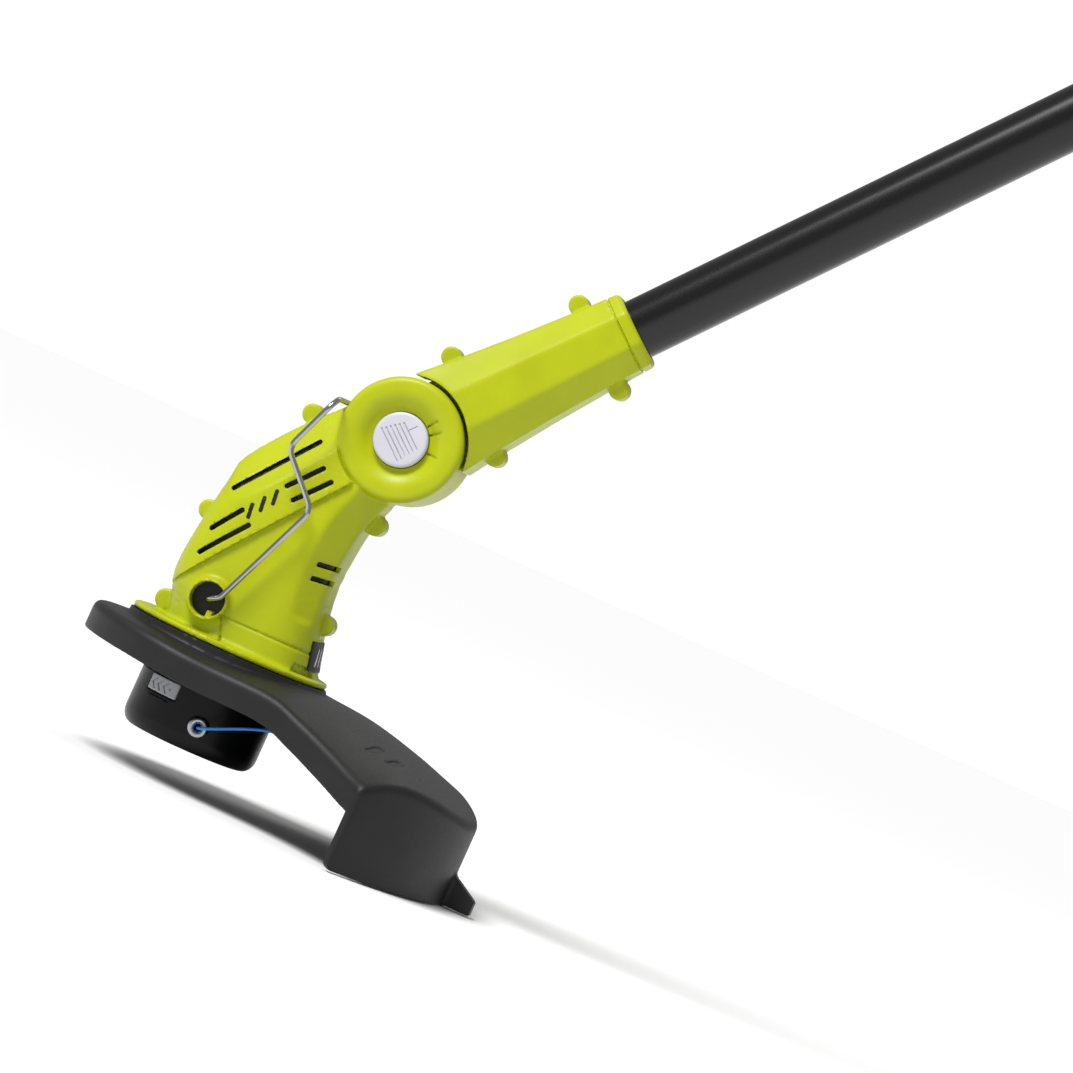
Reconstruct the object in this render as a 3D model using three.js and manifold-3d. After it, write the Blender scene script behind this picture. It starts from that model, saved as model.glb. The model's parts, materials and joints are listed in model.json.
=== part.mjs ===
// A cordless string trimmer. Millimetres, +Z up along the spin axis of the spool.
// The origin is the centre of the spool cap's flat bottom. +X points back, to the person who
// holds the tool, and -Y is that person's left. The shaft rises back from the pivot joint.
import * as THREE from "three";
import { mergeVertices } from "three/addons/utils/BufferGeometryUtils.js";
import Module from "manifold-3d";

const wasm = await Module();
wasm.setup();
const DEG = Math.PI / 180;

// ---------------------------------------------------------------- driving dimensions
const GAP = 0.3; // between pieces that touch
const SHELL_SPLIT = 0.15; // half the gap between a left shell and its right shell
const WALL = 2.6; // moulded shells

const LINE_DIAMETER = 1.65;
const CUT_RADIUS = 152.4; // reach of the trimmed line
const SPOOL_RADIUS = 37.3;
const CAP_HEIGHT = 31.5;
const CAP_WALL = 2.4;
const CAP_CHAMFER = 3.8;
const EYELET_HEIGHT = 14;
const EYELET_TURN = 11 * DEG; // from -Y towards +X
const LATCH_TURN = -31 * DEG;
const LATCH_WIDTH = 20;
const LATCH_HEIGHT = 8.5;
const LATCH_TRAVEL = 2.5;
const HUB_RADIUS = SPOOL_RADIUS - CAP_WALL - 1.9;
const HUB_NECK_RADIUS = 17;
const HUB_TOP = 44;
const REEL_RADIUS = SPOOL_RADIUS - CAP_WALL - 4.9;
const SPINDLE_RADIUS = 4;
const SHAFT_RADIUS = 3;

const GUARD_THICKNESS = 3;
const GUARD_FRONT_RADIUS = 74;
const SKIRT_RADIUS = CUT_RADIUS + GUARD_THICKNESS + 2.1;
const SKIRT_HALF_ANGLE = 47.5 * DEG;
const SKIRT_BOTTOM = -19;
const SKIRT_CORNER = 7;
const RIM_DEPTH = 15;
const PAD_RADIUS = 54;
const FLANGE_RADIUS = 55;
const FLANGE_BOTTOM = 57;
const FLANGE_THICKNESS = 3;
const FIN_REACH = 13;

const MOTOR_RADIUS = 21.5;
const MOTOR_BOTTOM = 71;
const MOTOR_LENGTH = 58;
const FAN_RADIUS = 28;
const FAN_BLADES = 8;
const WIRE_RADIUS = 1.5;
const WIRE_BOSS = [-14.8, 77]; // x, z
const WIRE_BOSS_RADIUS = 11;
const WIRE_SIDE = 46.8; // y of the two legs
const BADGE_HALF = 21;
const BADGE_SPAN = [63.5, 79]; // heights of its lower and upper edge

const PIVOT = [41, 193]; // x, z of the head's pivot axis
const EAR_RADIUS = 33;
const EAR_FACE = 31;
const TONGUE_RADIUS = EAR_RADIUS - 3.5;
const TONGUE_HALF = 11.7;
const BUTTON_RADIUS = 14.5;
const BUTTON_TRAVEL = 4;
const COG_RADIUS = 9.8;
const BOLT_RADIUS = 6;

const SHAFT_ANGLE = 50 * DEG;
const TUBE_RADIUS = 16;
const TUBE_WALL = 1.4;
const TUBE_START = 52;
const TUBE_LENGTH = 570;
const TUBE_END = TUBE_START + TUBE_LENGTH;
const COLLAR_END = 134.5;
const UPPER_RADIUS = TUBE_RADIUS - TUBE_WALL - 0.4;
const TUBE_OVERLAP = 202; // of the two tubes, pushed together
const UPPER_LENGTH = 590;
const UPPER_START = TUBE_END - TUBE_OVERLAP;
const UPPER_END = UPPER_START + UPPER_LENGTH;
const CLAMP_START = TUBE_END - 22;
const CLAMP_END = CLAMP_START + 55;
const AUX_AT = UPPER_END - 145; // along the shaft
const AUX_PIVOT_HEIGHT = UPPER_RADIUS + 18.8;
const HANDLE_START = UPPER_END - 48;
const HANDLE_LENGTH = 253;
const DOCK = HANDLE_START + HANDLE_LENGTH; // face that the battery meets

const SCREW_RADIUS = 1.75;
const SCREW_HEAD_RADIUS = 3.2;
const BOSS_RADIUS = 5.4;
const BOSS_HALF = 9;

// ---------------------------------------------------------------- materials
function finish(colour, roughness, metalness = 0) {
  return new THREE.MeshStandardMaterial({ color: colour, roughness, metalness });
}
const lime = finish(0xb4c41c, 0.42);
const charcoal = finish(0x2b2b2c, 0.6);
const black = finish(0x101011, 0.35);
const tubeBlack = finish(0x08080a, 0.18, 0.2);
const paleGrey = finish(0xb9b7c4, 0.45);
const steel = finish(0xa9acb0, 0.3, 0.95);
const blue = finish(0x1d6fb8, 0.4);
const rubber = finish(0x1a1a1a, 0.8);
const copper = finish(0x8a5a35, 0.5, 0.6);

// ---------------------------------------------------------------- geometry helpers
// A closed solid from a geometry: shared vertices merged, empty triangles dropped, faces out.
function solid(geometry) {
  const bare = new THREE.BufferGeometry();
  bare.setAttribute("position", geometry.getAttribute("position"));
  if (geometry.index) bare.setIndex(geometry.index);
  const merged = mergeVertices(bare, 1e-4);
  const index = merged.index.array;
  const triangles = [];
  for (let i = 0; i < index.length; i += 3) {
    const [a, b, c] = [index[i], index[i + 1], index[i + 2]];
    if (a !== b && b !== c && c !== a) triangles.push([a, b, c]);
  }
  const build = (corners) =>
    new wasm.Manifold(
      new wasm.Mesh({
        numProp: 3,
        vertProperties: new Float32Array(merged.getAttribute("position").array),
        triVerts: new Uint32Array(corners.flat()),
      }),
    );
  const made = build(triangles);
  return made.volume() > 0 ? made : build(triangles.map(([a, b, c]) => [a, c, b]));
}

// Turns a geometry made along Y to lie along the named axis.
const along = {
  X: (g) => g.rotateZ(-Math.PI / 2),
  Y: (g) => g,
  Z: (g) => g.rotateX(Math.PI / 2),
};

// Moves a geometry made along an axis to the place (a, b) in the other two coordinates.
function placed(geometry, axis, a, b) {
  const at = { X: [0, a, b], Y: [a, 0, b], Z: [a, b, 0] }[axis];
  return along[axis](geometry).translate(...at);
}

function rod(axis, radius, from, to, a = 0, b = 0, sides = 20) {
  const g = new THREE.CylinderGeometry(radius, radius, Math.abs(to - from), sides);
  return solid(placed(g.translate(0, (from + to) / 2, 0), axis, a, b));
}

// A lathe about Y: the profile is a list of [radius, place along the axis], and it closes on
// itself unless it starts and ends on the axis.
function latheOf(profile, sides) {
  const points = profile.map(([r, t]) => new THREE.Vector2(r, t));
  if (profile[0][0] > 0) points.push(points[0].clone());
  return new THREE.LatheGeometry(points, sides);
}

function turned(axis, profile, a = 0, b = 0, sides = 24) {
  return solid(placed(latheOf(profile, sides), axis, a, b));
}

function box(x, y, z) {
  const g = new THREE.BoxGeometry(x[1] - x[0], y[1] - y[0], z[1] - z[0]);
  return solid(g.translate((x[0] + x[1]) / 2, (y[0] + y[1]) / 2, (z[0] + z[1]) / 2));
}

// A skin over rings of equal numbers of points, with a fan over each end.
function loft(rings) {
  const n = rings[0].length;
  const centre = (ring) => [0, 1, 2].map((k) => ring.reduce((s, p) => s + p[k], 0) / n);
  const points = [...rings.flat(), centre(rings[0]), centre(rings.at(-1))];
  const index = [];
  for (let j = 0; j < n; j++) {
    const k = (j + 1) % n;
    for (let i = 0; i + 1 < rings.length; i++) {
      const [a, b, c, d] = [i * n + j, i * n + k, (i + 1) * n + k, (i + 1) * n + j];
      index.push(a, b, c, a, c, d);
    }
    const last = (rings.length - 1) * n;
    index.push(rings.length * n, k, j);
    index.push(rings.length * n + 1, last + j, last + k);
  }
  const g = new THREE.BufferGeometry();
  g.setAttribute("position", new THREE.Float32BufferAttribute(points.flat(), 3));
  g.setIndex(index);
  return solid(g);
}

// A flat outline in XY, pushed up from z0 to z1.
function plate(shape, z0, z1, curveSegments = 12) {
  const g = new THREE.ExtrudeGeometry(shape, {
    depth: z1 - z0,
    bevelEnabled: false,
    curveSegments,
  });
  return solid(g.translate(0, 0, z0));
}

// A round bar along a curve.
function bar(curve, radius, steps, sides = 8) {
  const section = new THREE.Shape();
  section.absarc(0, 0, radius, 0, Math.PI * 2, false);
  return solid(
    new THREE.ExtrudeGeometry(section, {
      steps,
      extrudePath: curve,
      bevelEnabled: false,
      curveSegments: sides / 2, // a full arc gets twice as many
    }),
  );
}

function smooth(points, tension = 0.5) {
  const list = points.map((p) => new THREE.Vector3(...p));
  return new THREE.CatmullRomCurve3(list, false, "catmullrom", tension);
}

// Straight runs joined by rounded corners, as bent wire is.
function bent(points, corner) {
  const list = points.map((p) => new THREE.Vector3(...p));
  const path = new THREE.CurvePath();
  let start = list[0];
  for (let i = 1; i + 1 < list.length; i++) {
    const back = list[i - 1].clone().sub(list[i]).setLength(corner).add(list[i]);
    const ahead = list[i + 1].clone().sub(list[i]).setLength(corner).add(list[i]);
    path.add(new THREE.LineCurve3(start, back));
    path.add(new THREE.QuadraticBezierCurve3(back, list[i], ahead));
    start = ahead;
  }
  path.add(new THREE.LineCurve3(start, list.at(-1)));
  return path;
}

class Coil extends THREE.Curve {
  constructor(axis, radius, from, to, turns, a, b) {
    super();
    Object.assign(this, { axis, radius, from, to, turns, a, b });
  }
  getPoint(t, target = new THREE.Vector3()) {
    const angle = t * this.turns * 2 * Math.PI;
    const u = this.a + this.radius * Math.cos(angle);
    const v = this.b + this.radius * Math.sin(angle);
    const w = this.from + (this.to - this.from) * t;
    return this.axis === "Y" ? target.set(u, w, v) : target.set(u, v, w);
  }
}

function spring(axis, radius, wire, from, to, turns, a = 0, b = 0) {
  const curve = new Coil(axis, radius, from + wire, to - wire, turns, a, b);
  return bar(curve, wire, turns * 7, 6);
}

const join = (...solids) => solids.reduce((a, b) => a.add(b));
const cut = (body, ...tools) => tools.reduce((a, b) => a.subtract(b), body);
const FAR = 2000;
const leftOf = (body) => body.intersect(box([-FAR, FAR], [-FAR, -SHELL_SPLIT], [-FAR, FAR]));
const rightOf = (body) => body.intersect(box([-FAR, FAR], [SHELL_SPLIT, FAR], [-FAR, FAR]));

const trimmer = new THREE.Group();
const shaft = new THREE.Group(); // its X runs up the shaft from the pivot
shaft.position.set(PIVOT[0], 0, PIVOT[1]);
shaft.rotation.y = -SHAFT_ANGLE;
trimmer.add(shaft);

function piece(name, body, material, parent = trimmer) {
  const data = body.getMesh();
  const g = new THREE.BufferGeometry();
  g.setAttribute("position", new THREE.BufferAttribute(data.vertProperties, 3));
  g.setIndex(new THREE.BufferAttribute(data.triVerts, 1));
  g.computeVertexNormals();
  const mesh = new THREE.Mesh(g, material);
  mesh.name = name;
  parent.add(mesh);
}

// ---------------------------------------------------------------- screws that join shells
// They run along Y from the right-hand side, at (x, z).
function shellBoss(x, z) {
  return rod("Y", BOSS_RADIUS, -BOSS_HALF, BOSS_HALF, x, z, 14);
}

function shellScrewHole(x, z) {
  const seat = BOSS_HALF - 3;
  return join(
    rod("Y", SCREW_RADIUS + GAP, -BOSS_HALF + 2, BOSS_HALF + 1, x, z, 8),
    rod("Y", SCREW_HEAD_RADIUS + GAP, seat, BOSS_HALF + 40, x, z, 10),
  );
}

function shellScrew(x, z) {
  const seat = BOSS_HALF - 3 + GAP;
  const profile = [
    [0, -BOSS_HALF + 3],
    [SCREW_RADIUS, -BOSS_HALF + 4.5],
    [SCREW_RADIUS, seat],
    [SCREW_HEAD_RADIUS, seat],
    [SCREW_HEAD_RADIUS, seat + 1.4],
    [SCREW_HEAD_RADIUS - 1.2, seat + 2.3],
    [0, seat + 2.3],
  ];
  return turned("Y", profile, x, z, 8);
}

// ---------------------------------------------------------------- spool
const capInside = SPOOL_RADIUS - CAP_WALL;

// A block on the cap's wall: its width lies across the radius at the given turn from -Y.
function radialBlock(turn, r0, r1, width, z0, z1) {
  const g = new THREE.BoxGeometry(width, r1 - r0, z1 - z0);
  g.translate(0, -(r0 + r1) / 2, (z0 + z1) / 2);
  return solid(g.rotateZ(turn));
}

// A body of revolution whose axis is a radius of the cap, at the given turn from -Y.
function radialTurned(turn, profile, z, sides) {
  const g = latheOf(profile, sides);
  return solid(g.rotateX(Math.PI).translate(0, 0, z).rotateZ(turn));
}

const latchTop = CAP_HEIGHT - 1.2;
const latchBottom = latchTop - LATCH_HEIGHT;
const latchTurns = [LATCH_TURN, LATCH_TURN + Math.PI];

function spoolCap() {
  const cup = turned("Z", [
    [0, 0],
    [SPOOL_RADIUS - CAP_CHAMFER, 0],
    [SPOOL_RADIUS - 1, CAP_CHAMFER - 1.5],
    [SPOOL_RADIUS, CAP_CHAMFER],
    [SPOOL_RADIUS, CAP_HEIGHT],
    [capInside, CAP_HEIGHT],
    [capInside, CAP_CHAMFER + 1],
    [capInside - CAP_CHAMFER, CAP_WALL],
    [0, CAP_WALL],
  ], 0, 0, 32);
  const windows = latchTurns.map((turn) => radialBlock(
    turn, capInside - 2, SPOOL_RADIUS + 2, LATCH_WIDTH + 2 * GAP,
    latchBottom - GAP, latchTop + GAP,
  ));
  const hole = radialTurned(EYELET_TURN, [
    [0, capInside - 3], [3.2 + GAP, capInside - 3],
    [3.2 + GAP, SPOOL_RADIUS + 3], [0, SPOOL_RADIUS + 3],
  ], EYELET_HEIGHT, 16);
  return cut(cup, ...windows, hole);
}

function lineEyelet() {
  const lip = SPOOL_RADIUS + GAP;
  return radialTurned(EYELET_TURN, [
    [2, capInside - 1], [3.2, capInside - 1], [3.2, lip], [5, lip],
    [5, lip + 0.7], [4.2, lip + 1.4], [2.8, lip + 1.4], [2, lip + 0.7],
  ], EYELET_HEIGHT, 14);
}

// A pad in the cap's window and the tongue that guides it under the hub.
function capLatch(turn) {
  const inner = capInside - 0.8;
  return join(
    radialBlock(turn, inner, SPOOL_RADIUS + 0.3, LATCH_WIDTH, latchBottom, latchTop),
    radialBlock(turn, HUB_RADIUS - 7, inner + 1, 8, latchTop - 3, latchTop - 1),
  );
}

function spoolHub() {
  const bore = SPINDLE_RADIUS + GAP;
  const seat = CAP_HEIGHT + GAP;
  return turned("Z", [
    [bore, 26.5], [HUB_RADIUS - 11, 26.5], [HUB_RADIUS - 11, seat], [HUB_RADIUS, seat],
    [HUB_RADIUS, seat + 2.4], [HUB_NECK_RADIUS + 6, seat + 4.5],
    [HUB_NECK_RADIUS, seat + 7], [HUB_NECK_RADIUS, HUB_TOP], [bore, HUB_TOP],
  ], 0, 0, 20);
}

const reelBottom = CAP_WALL + 1.6;
const reelTop = 25.5;
const reelCore = 11.5;
const springRadius = 6.8;
const springWire = 0.7;

function spoolReel() {
  const bore = springRadius + springWire + 0.6;
  const flange = 1.5;
  return turned("Z", [
    [bore, reelBottom], [REEL_RADIUS, reelBottom], [REEL_RADIUS, reelBottom + flange],
    [reelCore, reelBottom + flange], [reelCore, reelTop - flange],
    [REEL_RADIUS, reelTop - flange], [REEL_RADIUS, reelTop], [bore, reelTop],
  ], 0, 0, 20);
}

function woundLine() {
  return turned("Z", [
    [reelCore + GAP, reelBottom + 1.5 + GAP], [REEL_RADIUS - 3, reelBottom + 1.5 + GAP],
    [REEL_RADIUS - 2, 14], [REEL_RADIUS - 3, reelTop - 1.5 - GAP],
    [reelCore + GAP, reelTop - 1.5 - GAP],
  ], 0, 0, 18);
}

const fanBottom = 60.5;
const armatureSpan = [MOTOR_BOTTOM + 12, MOTOR_BOTTOM + MOTOR_LENGTH - 16];

function spindle() {
  return turned("Z", [
    [0, CAP_WALL + GAP], [SPINDLE_RADIUS, CAP_WALL + 1], [SPINDLE_RADIUS, fanBottom - 4],
    [SHAFT_RADIUS, fanBottom - 4], [SHAFT_RADIUS, MOTOR_BOTTOM + MOTOR_LENGTH + 6],
    [0, MOTOR_BOTTOM + MOTOR_LENGTH + 7],
  ], 0, 0, 12);
}

function armature() {
  const bore = SHAFT_RADIUS + GAP;
  const rotor = MOTOR_RADIUS - 5;
  const [low, high] = armatureSpan;
  return turned("Z", [
    [bore, low - 6], [9, low - 6], [9, low], [rotor, low], [rotor, high], [9, high],
    [9, high + 6], [bore, high + 6],
  ], 0, 0, 16);
}

function fan() {
  const bore = SHAFT_RADIUS + GAP;
  const disc = turned("Z", [
    [bore, fanBottom - 2], [8, fanBottom - 2], [8, fanBottom], [FAN_RADIUS, fanBottom],
    [FAN_RADIUS, fanBottom + 1.4], [8, fanBottom + 1.4], [8, fanBottom + 6],
    [bore, fanBottom + 6],
  ], 0, 0, 16);
  const blades = [];
  for (let i = 0; i < FAN_BLADES; i++) {
    const blade = new THREE.BoxGeometry(16, 1.4, 5.2);
    blade.translate(19, 0, fanBottom + 3.4).rotateZ((i / FAN_BLADES) * 360 * DEG);
    blades.push(solid(blade));
  }
  return join(disc, ...blades);
}

piece("spool_cap", spoolCap(), black);
piece("line_eyelet", lineEyelet(), steel);
latchTurns.forEach((turn, i) => piece(`cap_latch_${i + 1}`, capLatch(turn), paleGrey));
piece("spool_hub", spoolHub(), paleGrey);
piece("spool_reel", spoolReel(), black);
piece("wound_line", woundLine(), blue);
piece("feed_spring", spring("Z", springRadius, springWire, reelBottom, 26.2, 4), steel);
piece("spindle", spindle(), steel);
piece("motor_armature", armature(), copper);
piece("cooling_fan", fan(), charcoal);

// The free end of the line: out of the eyelet, then trailing back under the guard.
const LINE_ROUTE = [
  [7.42, -38.2, 14], [8.0, -40.6, 14.1], [9.8, -43.4, 14.7], [13.0, -45.8, 16.0],
  [18.0, -48.0, 18.2], [25.0, -49.8, 21.4], [33.0, -50.8, 24.9], [41.0, -51.0, 27.8],
  [48.0, -50.8, 29.4], [56.0, -50.0, 30.2], [65.0, -48.6, 29.8], [75.0, -46.4, 28.4],
  [85.0, -43.6, 26.2], [95.0, -40.2, 23.4], [104.0, -36.8, 20.2],
];
piece("cutting_line", bar(smooth(LINE_ROUTE), LINE_DIAMETER / 2, 28, 8), blue);

// ---------------------------------------------------------------- guard
const skirtTop = 26;

function guardOutline(inset) {
  const front = GUARD_FRONT_RADIUS - inset;
  const rear = SKIRT_RADIUS - inset;
  const half = SKIRT_HALF_ANGLE - inset / SKIRT_RADIUS;
  const corner = [rear * Math.cos(half), rear * Math.sin(half)];
  const shape = new THREE.Shape();
  shape.moveTo(0, front);
  shape.absarc(0, 0, front, 90 * DEG, 270 * DEG, false);
  shape.quadraticCurveTo(corner[0] * 0.62, -front - 2, corner[0], -corner[1]);
  shape.absarc(0, 0, rear, -half, half, false);
  shape.quadraticCurveTo(corner[0] * 0.62, front + 2, 0, front);
  return shape;
}

const cornerX = SKIRT_RADIUS * Math.cos(SKIRT_HALF_ANGLE);
const cornerY = SKIRT_RADIUS * Math.sin(SKIRT_HALF_ANGLE);

// Height of the guard's top: [x, height on the centre line, height at the side edge].
const guardHeights = [
  [-GUARD_FRONT_RADIUS - 2, 52, 52], [-40, 54, 50], [0, 55, 47.5], [40, 55, 47],
  [cornerX - 46, 54, 41.5], [cornerX - 24, 52, 34], [cornerX, 46.5, skirtTop],
  [cornerX + 19, 39.8, skirtTop], [SKIRT_RADIUS + 4, 24, skirtTop - 2],
];

function guardHalfWidth(x) {
  if (x <= 0) return Math.sqrt(Math.max(GUARD_FRONT_RADIUS ** 2 - x * x, 100));
  if (x >= cornerX) return Math.sqrt(Math.max(SKIRT_RADIUS ** 2 - x * x, 100));
  return GUARD_FRONT_RADIUS + (cornerY - GUARD_FRONT_RADIUS) * (x / cornerX) ** 2;
}

// Everything under the guard's crowned top, lowered by the given depth.
function underCrown(drop) {
  const across = [-1.3, -1, -0.8, -0.45, 0.45, 0.8, 1, 1.3];
  const rings = guardHeights.map(([x, centre, edge]) => {
    const half = guardHalfWidth(x);
    const top = across.map((s) => {
      const share = 1 - Math.min(Math.abs(s), 1) ** 2.6;
      return [x, s * half, edge + (centre - edge) * share - drop];
    });
    return [[x, -1.3 * half, -80], ...top, [x, 1.3 * half, -80]];
  });
  return loft(rings);
}

// What lies below the rim's lower edge, away from the skirt.
function belowRim() {
  const rings = guardHeights.map(([x, , edge]) => {
    const low = edge - RIM_DEPTH;
    return [[x, -200, -80], [x, -200, low], [x, 200, low], [x, 200, -80]];
  });
  const skirtSector = new THREE.Shape();
  skirtSector.moveTo(0, 0);
  skirtSector.absarc(0, 0, 240, -SKIRT_HALF_ANGLE, SKIRT_HALF_ANGLE, false);
  skirtSector.lineTo(0, 0);
  const sector = cut(
    plate(skirtSector, -120, 120, 8),
    rod("Z", SKIRT_RADIUS - GUARD_THICKNESS - 1.5, -130, 130, 0, 0, 48),
  );
  return loft(rings).subtract(sector);
}

// The two lower corners of the skirt are rounded: what lies outside the rounding.
function skirtCorner(side) {
  const half = SKIRT_HALF_ANGLE * SKIRT_RADIUS;
  const shape = new THREE.Shape();
  shape.moveTo(half - SKIRT_CORNER, SKIRT_BOTTOM - 1);
  shape.lineTo(half - SKIRT_CORNER, SKIRT_BOTTOM);
  shape.absarc(half - SKIRT_CORNER, SKIRT_BOTTOM + SKIRT_CORNER, SKIRT_CORNER,
    -90 * DEG, 0, false);
  shape.lineTo(half + 6, SKIRT_BOTTOM + SKIRT_CORNER);
  shape.lineTo(half + 6, SKIRT_BOTTOM - 1);
  const g = new THREE.ExtrudeGeometry(shape, {
    depth: 20, bevelEnabled: false, curveSegments: 5,
  });
  // The outline's first coordinate is the arc length round the skirt.
  g.translate(-half, 0, -10).rotateX(Math.PI / 2).rotateZ(Math.PI / 2);
  g.translate(SKIRT_RADIUS, 0, 0).rotateZ(SKIRT_HALF_ANGLE);
  return solid(side > 0 ? g : g.scale(1, -1, 1));
}

const guardScrews = [[-10, -34.4], [-10, 34.4], [25, 33]];
const guardScrewHole = (x, y) => join(
  rod("Z", SCREW_RADIUS + GAP, 40, FLANGE_BOTTOM + 8, x, y, 8),
  rod("Z", SCREW_HEAD_RADIUS + GAP, 30, FLANGE_BOTTOM - 4, x, y, 10),
);

const bladeTurn = SKIRT_HALF_ANGLE - 4 * DEG;
function cutterPlace(geometry) {
  return solid(geometry.rotateZ(bladeTurn));
}

function guard() {
  const outside = plate(guardOutline(0), SKIRT_BOTTOM, 90, 8).intersect(underCrown(0));
  const inside = plate(guardOutline(GUARD_THICKNESS), SKIRT_BOTTOM - 5, 90, 8)
    .intersect(underCrown(GUARD_THICKNESS));
  const shell = cut(outside, inside, belowRim(), skirtCorner(1), skirtCorner(-1));
  const pad = turned("Z", [
    [HUB_NECK_RADIUS + 4, 47], [40, 47], [PAD_RADIUS, 51], [PAD_RADIUS + 4, 53],
    [PAD_RADIUS + 1, FLANGE_BOTTOM - GAP], [HUB_NECK_RADIUS + 4, FLANGE_BOTTOM - GAP],
  ], 0, 0, 24);
  const floor = turned("Z", [
    [SPINDLE_RADIUS + 1.5, 53], [HUB_NECK_RADIUS + 5, 53],
    [HUB_NECK_RADIUS + 5, FLANGE_BOTTOM - GAP], [SPINDLE_RADIUS + 1.5, FLANGE_BOTTOM - GAP],
  ], 0, 0, 24);
  const fin = box(
    [SKIRT_RADIUS - 2, SKIRT_RADIUS + FIN_REACH], [-5, 5], [SKIRT_BOTTOM, SKIRT_BOTTOM + 17],
  );
  const finSlope = new THREE.BoxGeometry(30, 20, 12);
  finSlope.translate(15, 0, 6).rotateY(28 * DEG);
  finSlope.translate(SKIRT_RADIUS, 0, SKIRT_BOTTOM + 17);
  const ledge = new THREE.BoxGeometry(12, 16, 3);
  ledge.translate(SKIRT_RADIUS - GUARD_THICKNESS - 5.9, 0, 4);
  return cut(
    join(shell, pad, floor, cut(fin, solid(finSlope)), cutterPlace(ledge)),
    rod("Z", SPINDLE_RADIUS + 1.5, 40, 70, 0, 0, 16),
    cutterPlace(screwHole()),
    ...guardScrews.map(([x, y]) => guardScrewHole(x, y)),
  );
}

const cutterX = SKIRT_RADIUS - GUARD_THICKNESS - 6.5;
function screwHole() {
  const g = new THREE.CylinderGeometry(SCREW_RADIUS + GAP, SCREW_RADIUS + GAP, 20, 10);
  return g.rotateX(Math.PI / 2).translate(cutterX, 0, 4);
}

function cutterBlade() {
  const g = new THREE.BoxGeometry(11, 15, 1.2);
  g.translate(cutterX, 0, 2.5 - GAP - 0.6);
  const edge = new THREE.BoxGeometry(4.5, 10, 1.2);
  edge.translate(CUT_RADIUS - 5.5, 0, 2.5 - GAP - 0.6);
  return cutterPlace(g).add(cutterPlace(edge)).subtract(cutterPlace(screwHole()));
}

function cutterScrew() {
  const under = 2.5 - GAP - 1.2 - GAP;
  const g = latheOf([
    [0, under - 1.8], [SCREW_HEAD_RADIUS - 0.4, under - 1.8], [SCREW_HEAD_RADIUS - 0.4, under],
    [SCREW_RADIUS, under], [SCREW_RADIUS, 7.5], [0, 8],
  ], 10);
  return cutterPlace(g.rotateX(Math.PI / 2).translate(cutterX, 0, 0));
}

piece("guard", guard(), charcoal);
piece("cutter_blade", cutterBlade(), steel);
piece("cutter_screw", cutterScrew(), steel);
guardScrews.forEach(([x, y], i) => {
  const under = FLANGE_BOTTOM - 4 - GAP;
  const profile = [
    [0, under - 2], [SCREW_HEAD_RADIUS, under - 2], [SCREW_HEAD_RADIUS, under],
    [SCREW_RADIUS, under], [SCREW_RADIUS, FLANGE_BOTTOM + 6], [0, FLANGE_BOTTOM + 7],
  ];
  piece(`guard_screw_${i + 1}`, turned("Z", profile, x, y, 10), steel);
});

// ---------------------------------------------------------------- head casing
// Sections from the flange up to the pivot:
// front x, front z, rear x, rear z, half width, squareness.
const casingSections = [
  [-36, FLANGE_BOTTOM, 51, FLANGE_BOTTOM, 43, 2.2],
  [-37, 68, 46.5, 67, 41.5, 2.3],
  [-41.5, 84, 42, 86, 41, 2.4],
  [-39.5, 108, 39, 108, 40.3, 2.6],
  [-34.5, 138, 40.4, 132, 38, 2.7],
  [-31.5, 152, 43, 146, 36, 2.8],
  [-12.4, 178, 48.5, 164, 32, 3],
  [9, 200.6, 43, 186, 29, 3.2],
];

function casingRing([fx, fz, rx, rz, width, power], inset, points = 14) {
  const [cx, cz] = [(fx + rx) / 2, (fz + rz) / 2];
  const half = Math.hypot(rx - fx, rz - fz) / 2;
  const [ux, uz] = [(rx - fx) / 2 / half, (rz - fz) / 2 / half];
  const ring = [];
  for (let i = 0; i < points; i++) {
    const t = (i / points) * 2 * Math.PI;
    const c = Math.cos(t);
    const s = Math.sin(t);
    const u = (half - inset) * Math.sign(c) * Math.abs(c) ** (2 / power);
    const v = (width - inset) * Math.sign(s) * Math.abs(s) ** (2 / power);
    ring.push([cx + u * ux, v, cz + u * uz]);
  }
  return ring;
}

const headBosses = [[-9.5, 186.4], [-38.7, 118.5], [-40.4, 66.6], [44.8, 146.6], [41.5, 88]];

// Vent slits run the way the shaft does at rest: ends as x, z.
const sideVents = [
  [[-27.7, 134.8], [2.6, 174.7]],
  [[-2.2, 147.1], [11, 163]],
  [[3.9, 141.8], [17.6, 158]],
  [[-29.2, 111.2], [-18.1, 126.2]],
  [[-29.7, 97.4], [-11.7, 120.4]],
];
const VENT_WIDTH = 2.6;

function sideVent([[x0, z0], [x1, z1]]) {
  const g = new THREE.BoxGeometry(Math.hypot(x1 - x0, z1 - z0), 120, VENT_WIDTH);
  g.rotateY(-Math.atan2(z1 - z0, x1 - x0));
  return solid(g.translate((x0 + x1) / 2, 0, (z0 + z1) / 2));
}

function rearVent(z, side) {
  const g = new THREE.BoxGeometry(30, 11, VENT_WIDTH);
  g.translate(15, 0, 0).rotateZ(-45 * DEG).translate(22, -16, z);
  return solid(side < 0 ? g : g.scale(1, -1, 1));
}

const WIRE_HOLE = WIRE_RADIUS + 0.4;
const wireBossFace = 44.4;
const wireBossFloor = 40.6;

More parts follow.
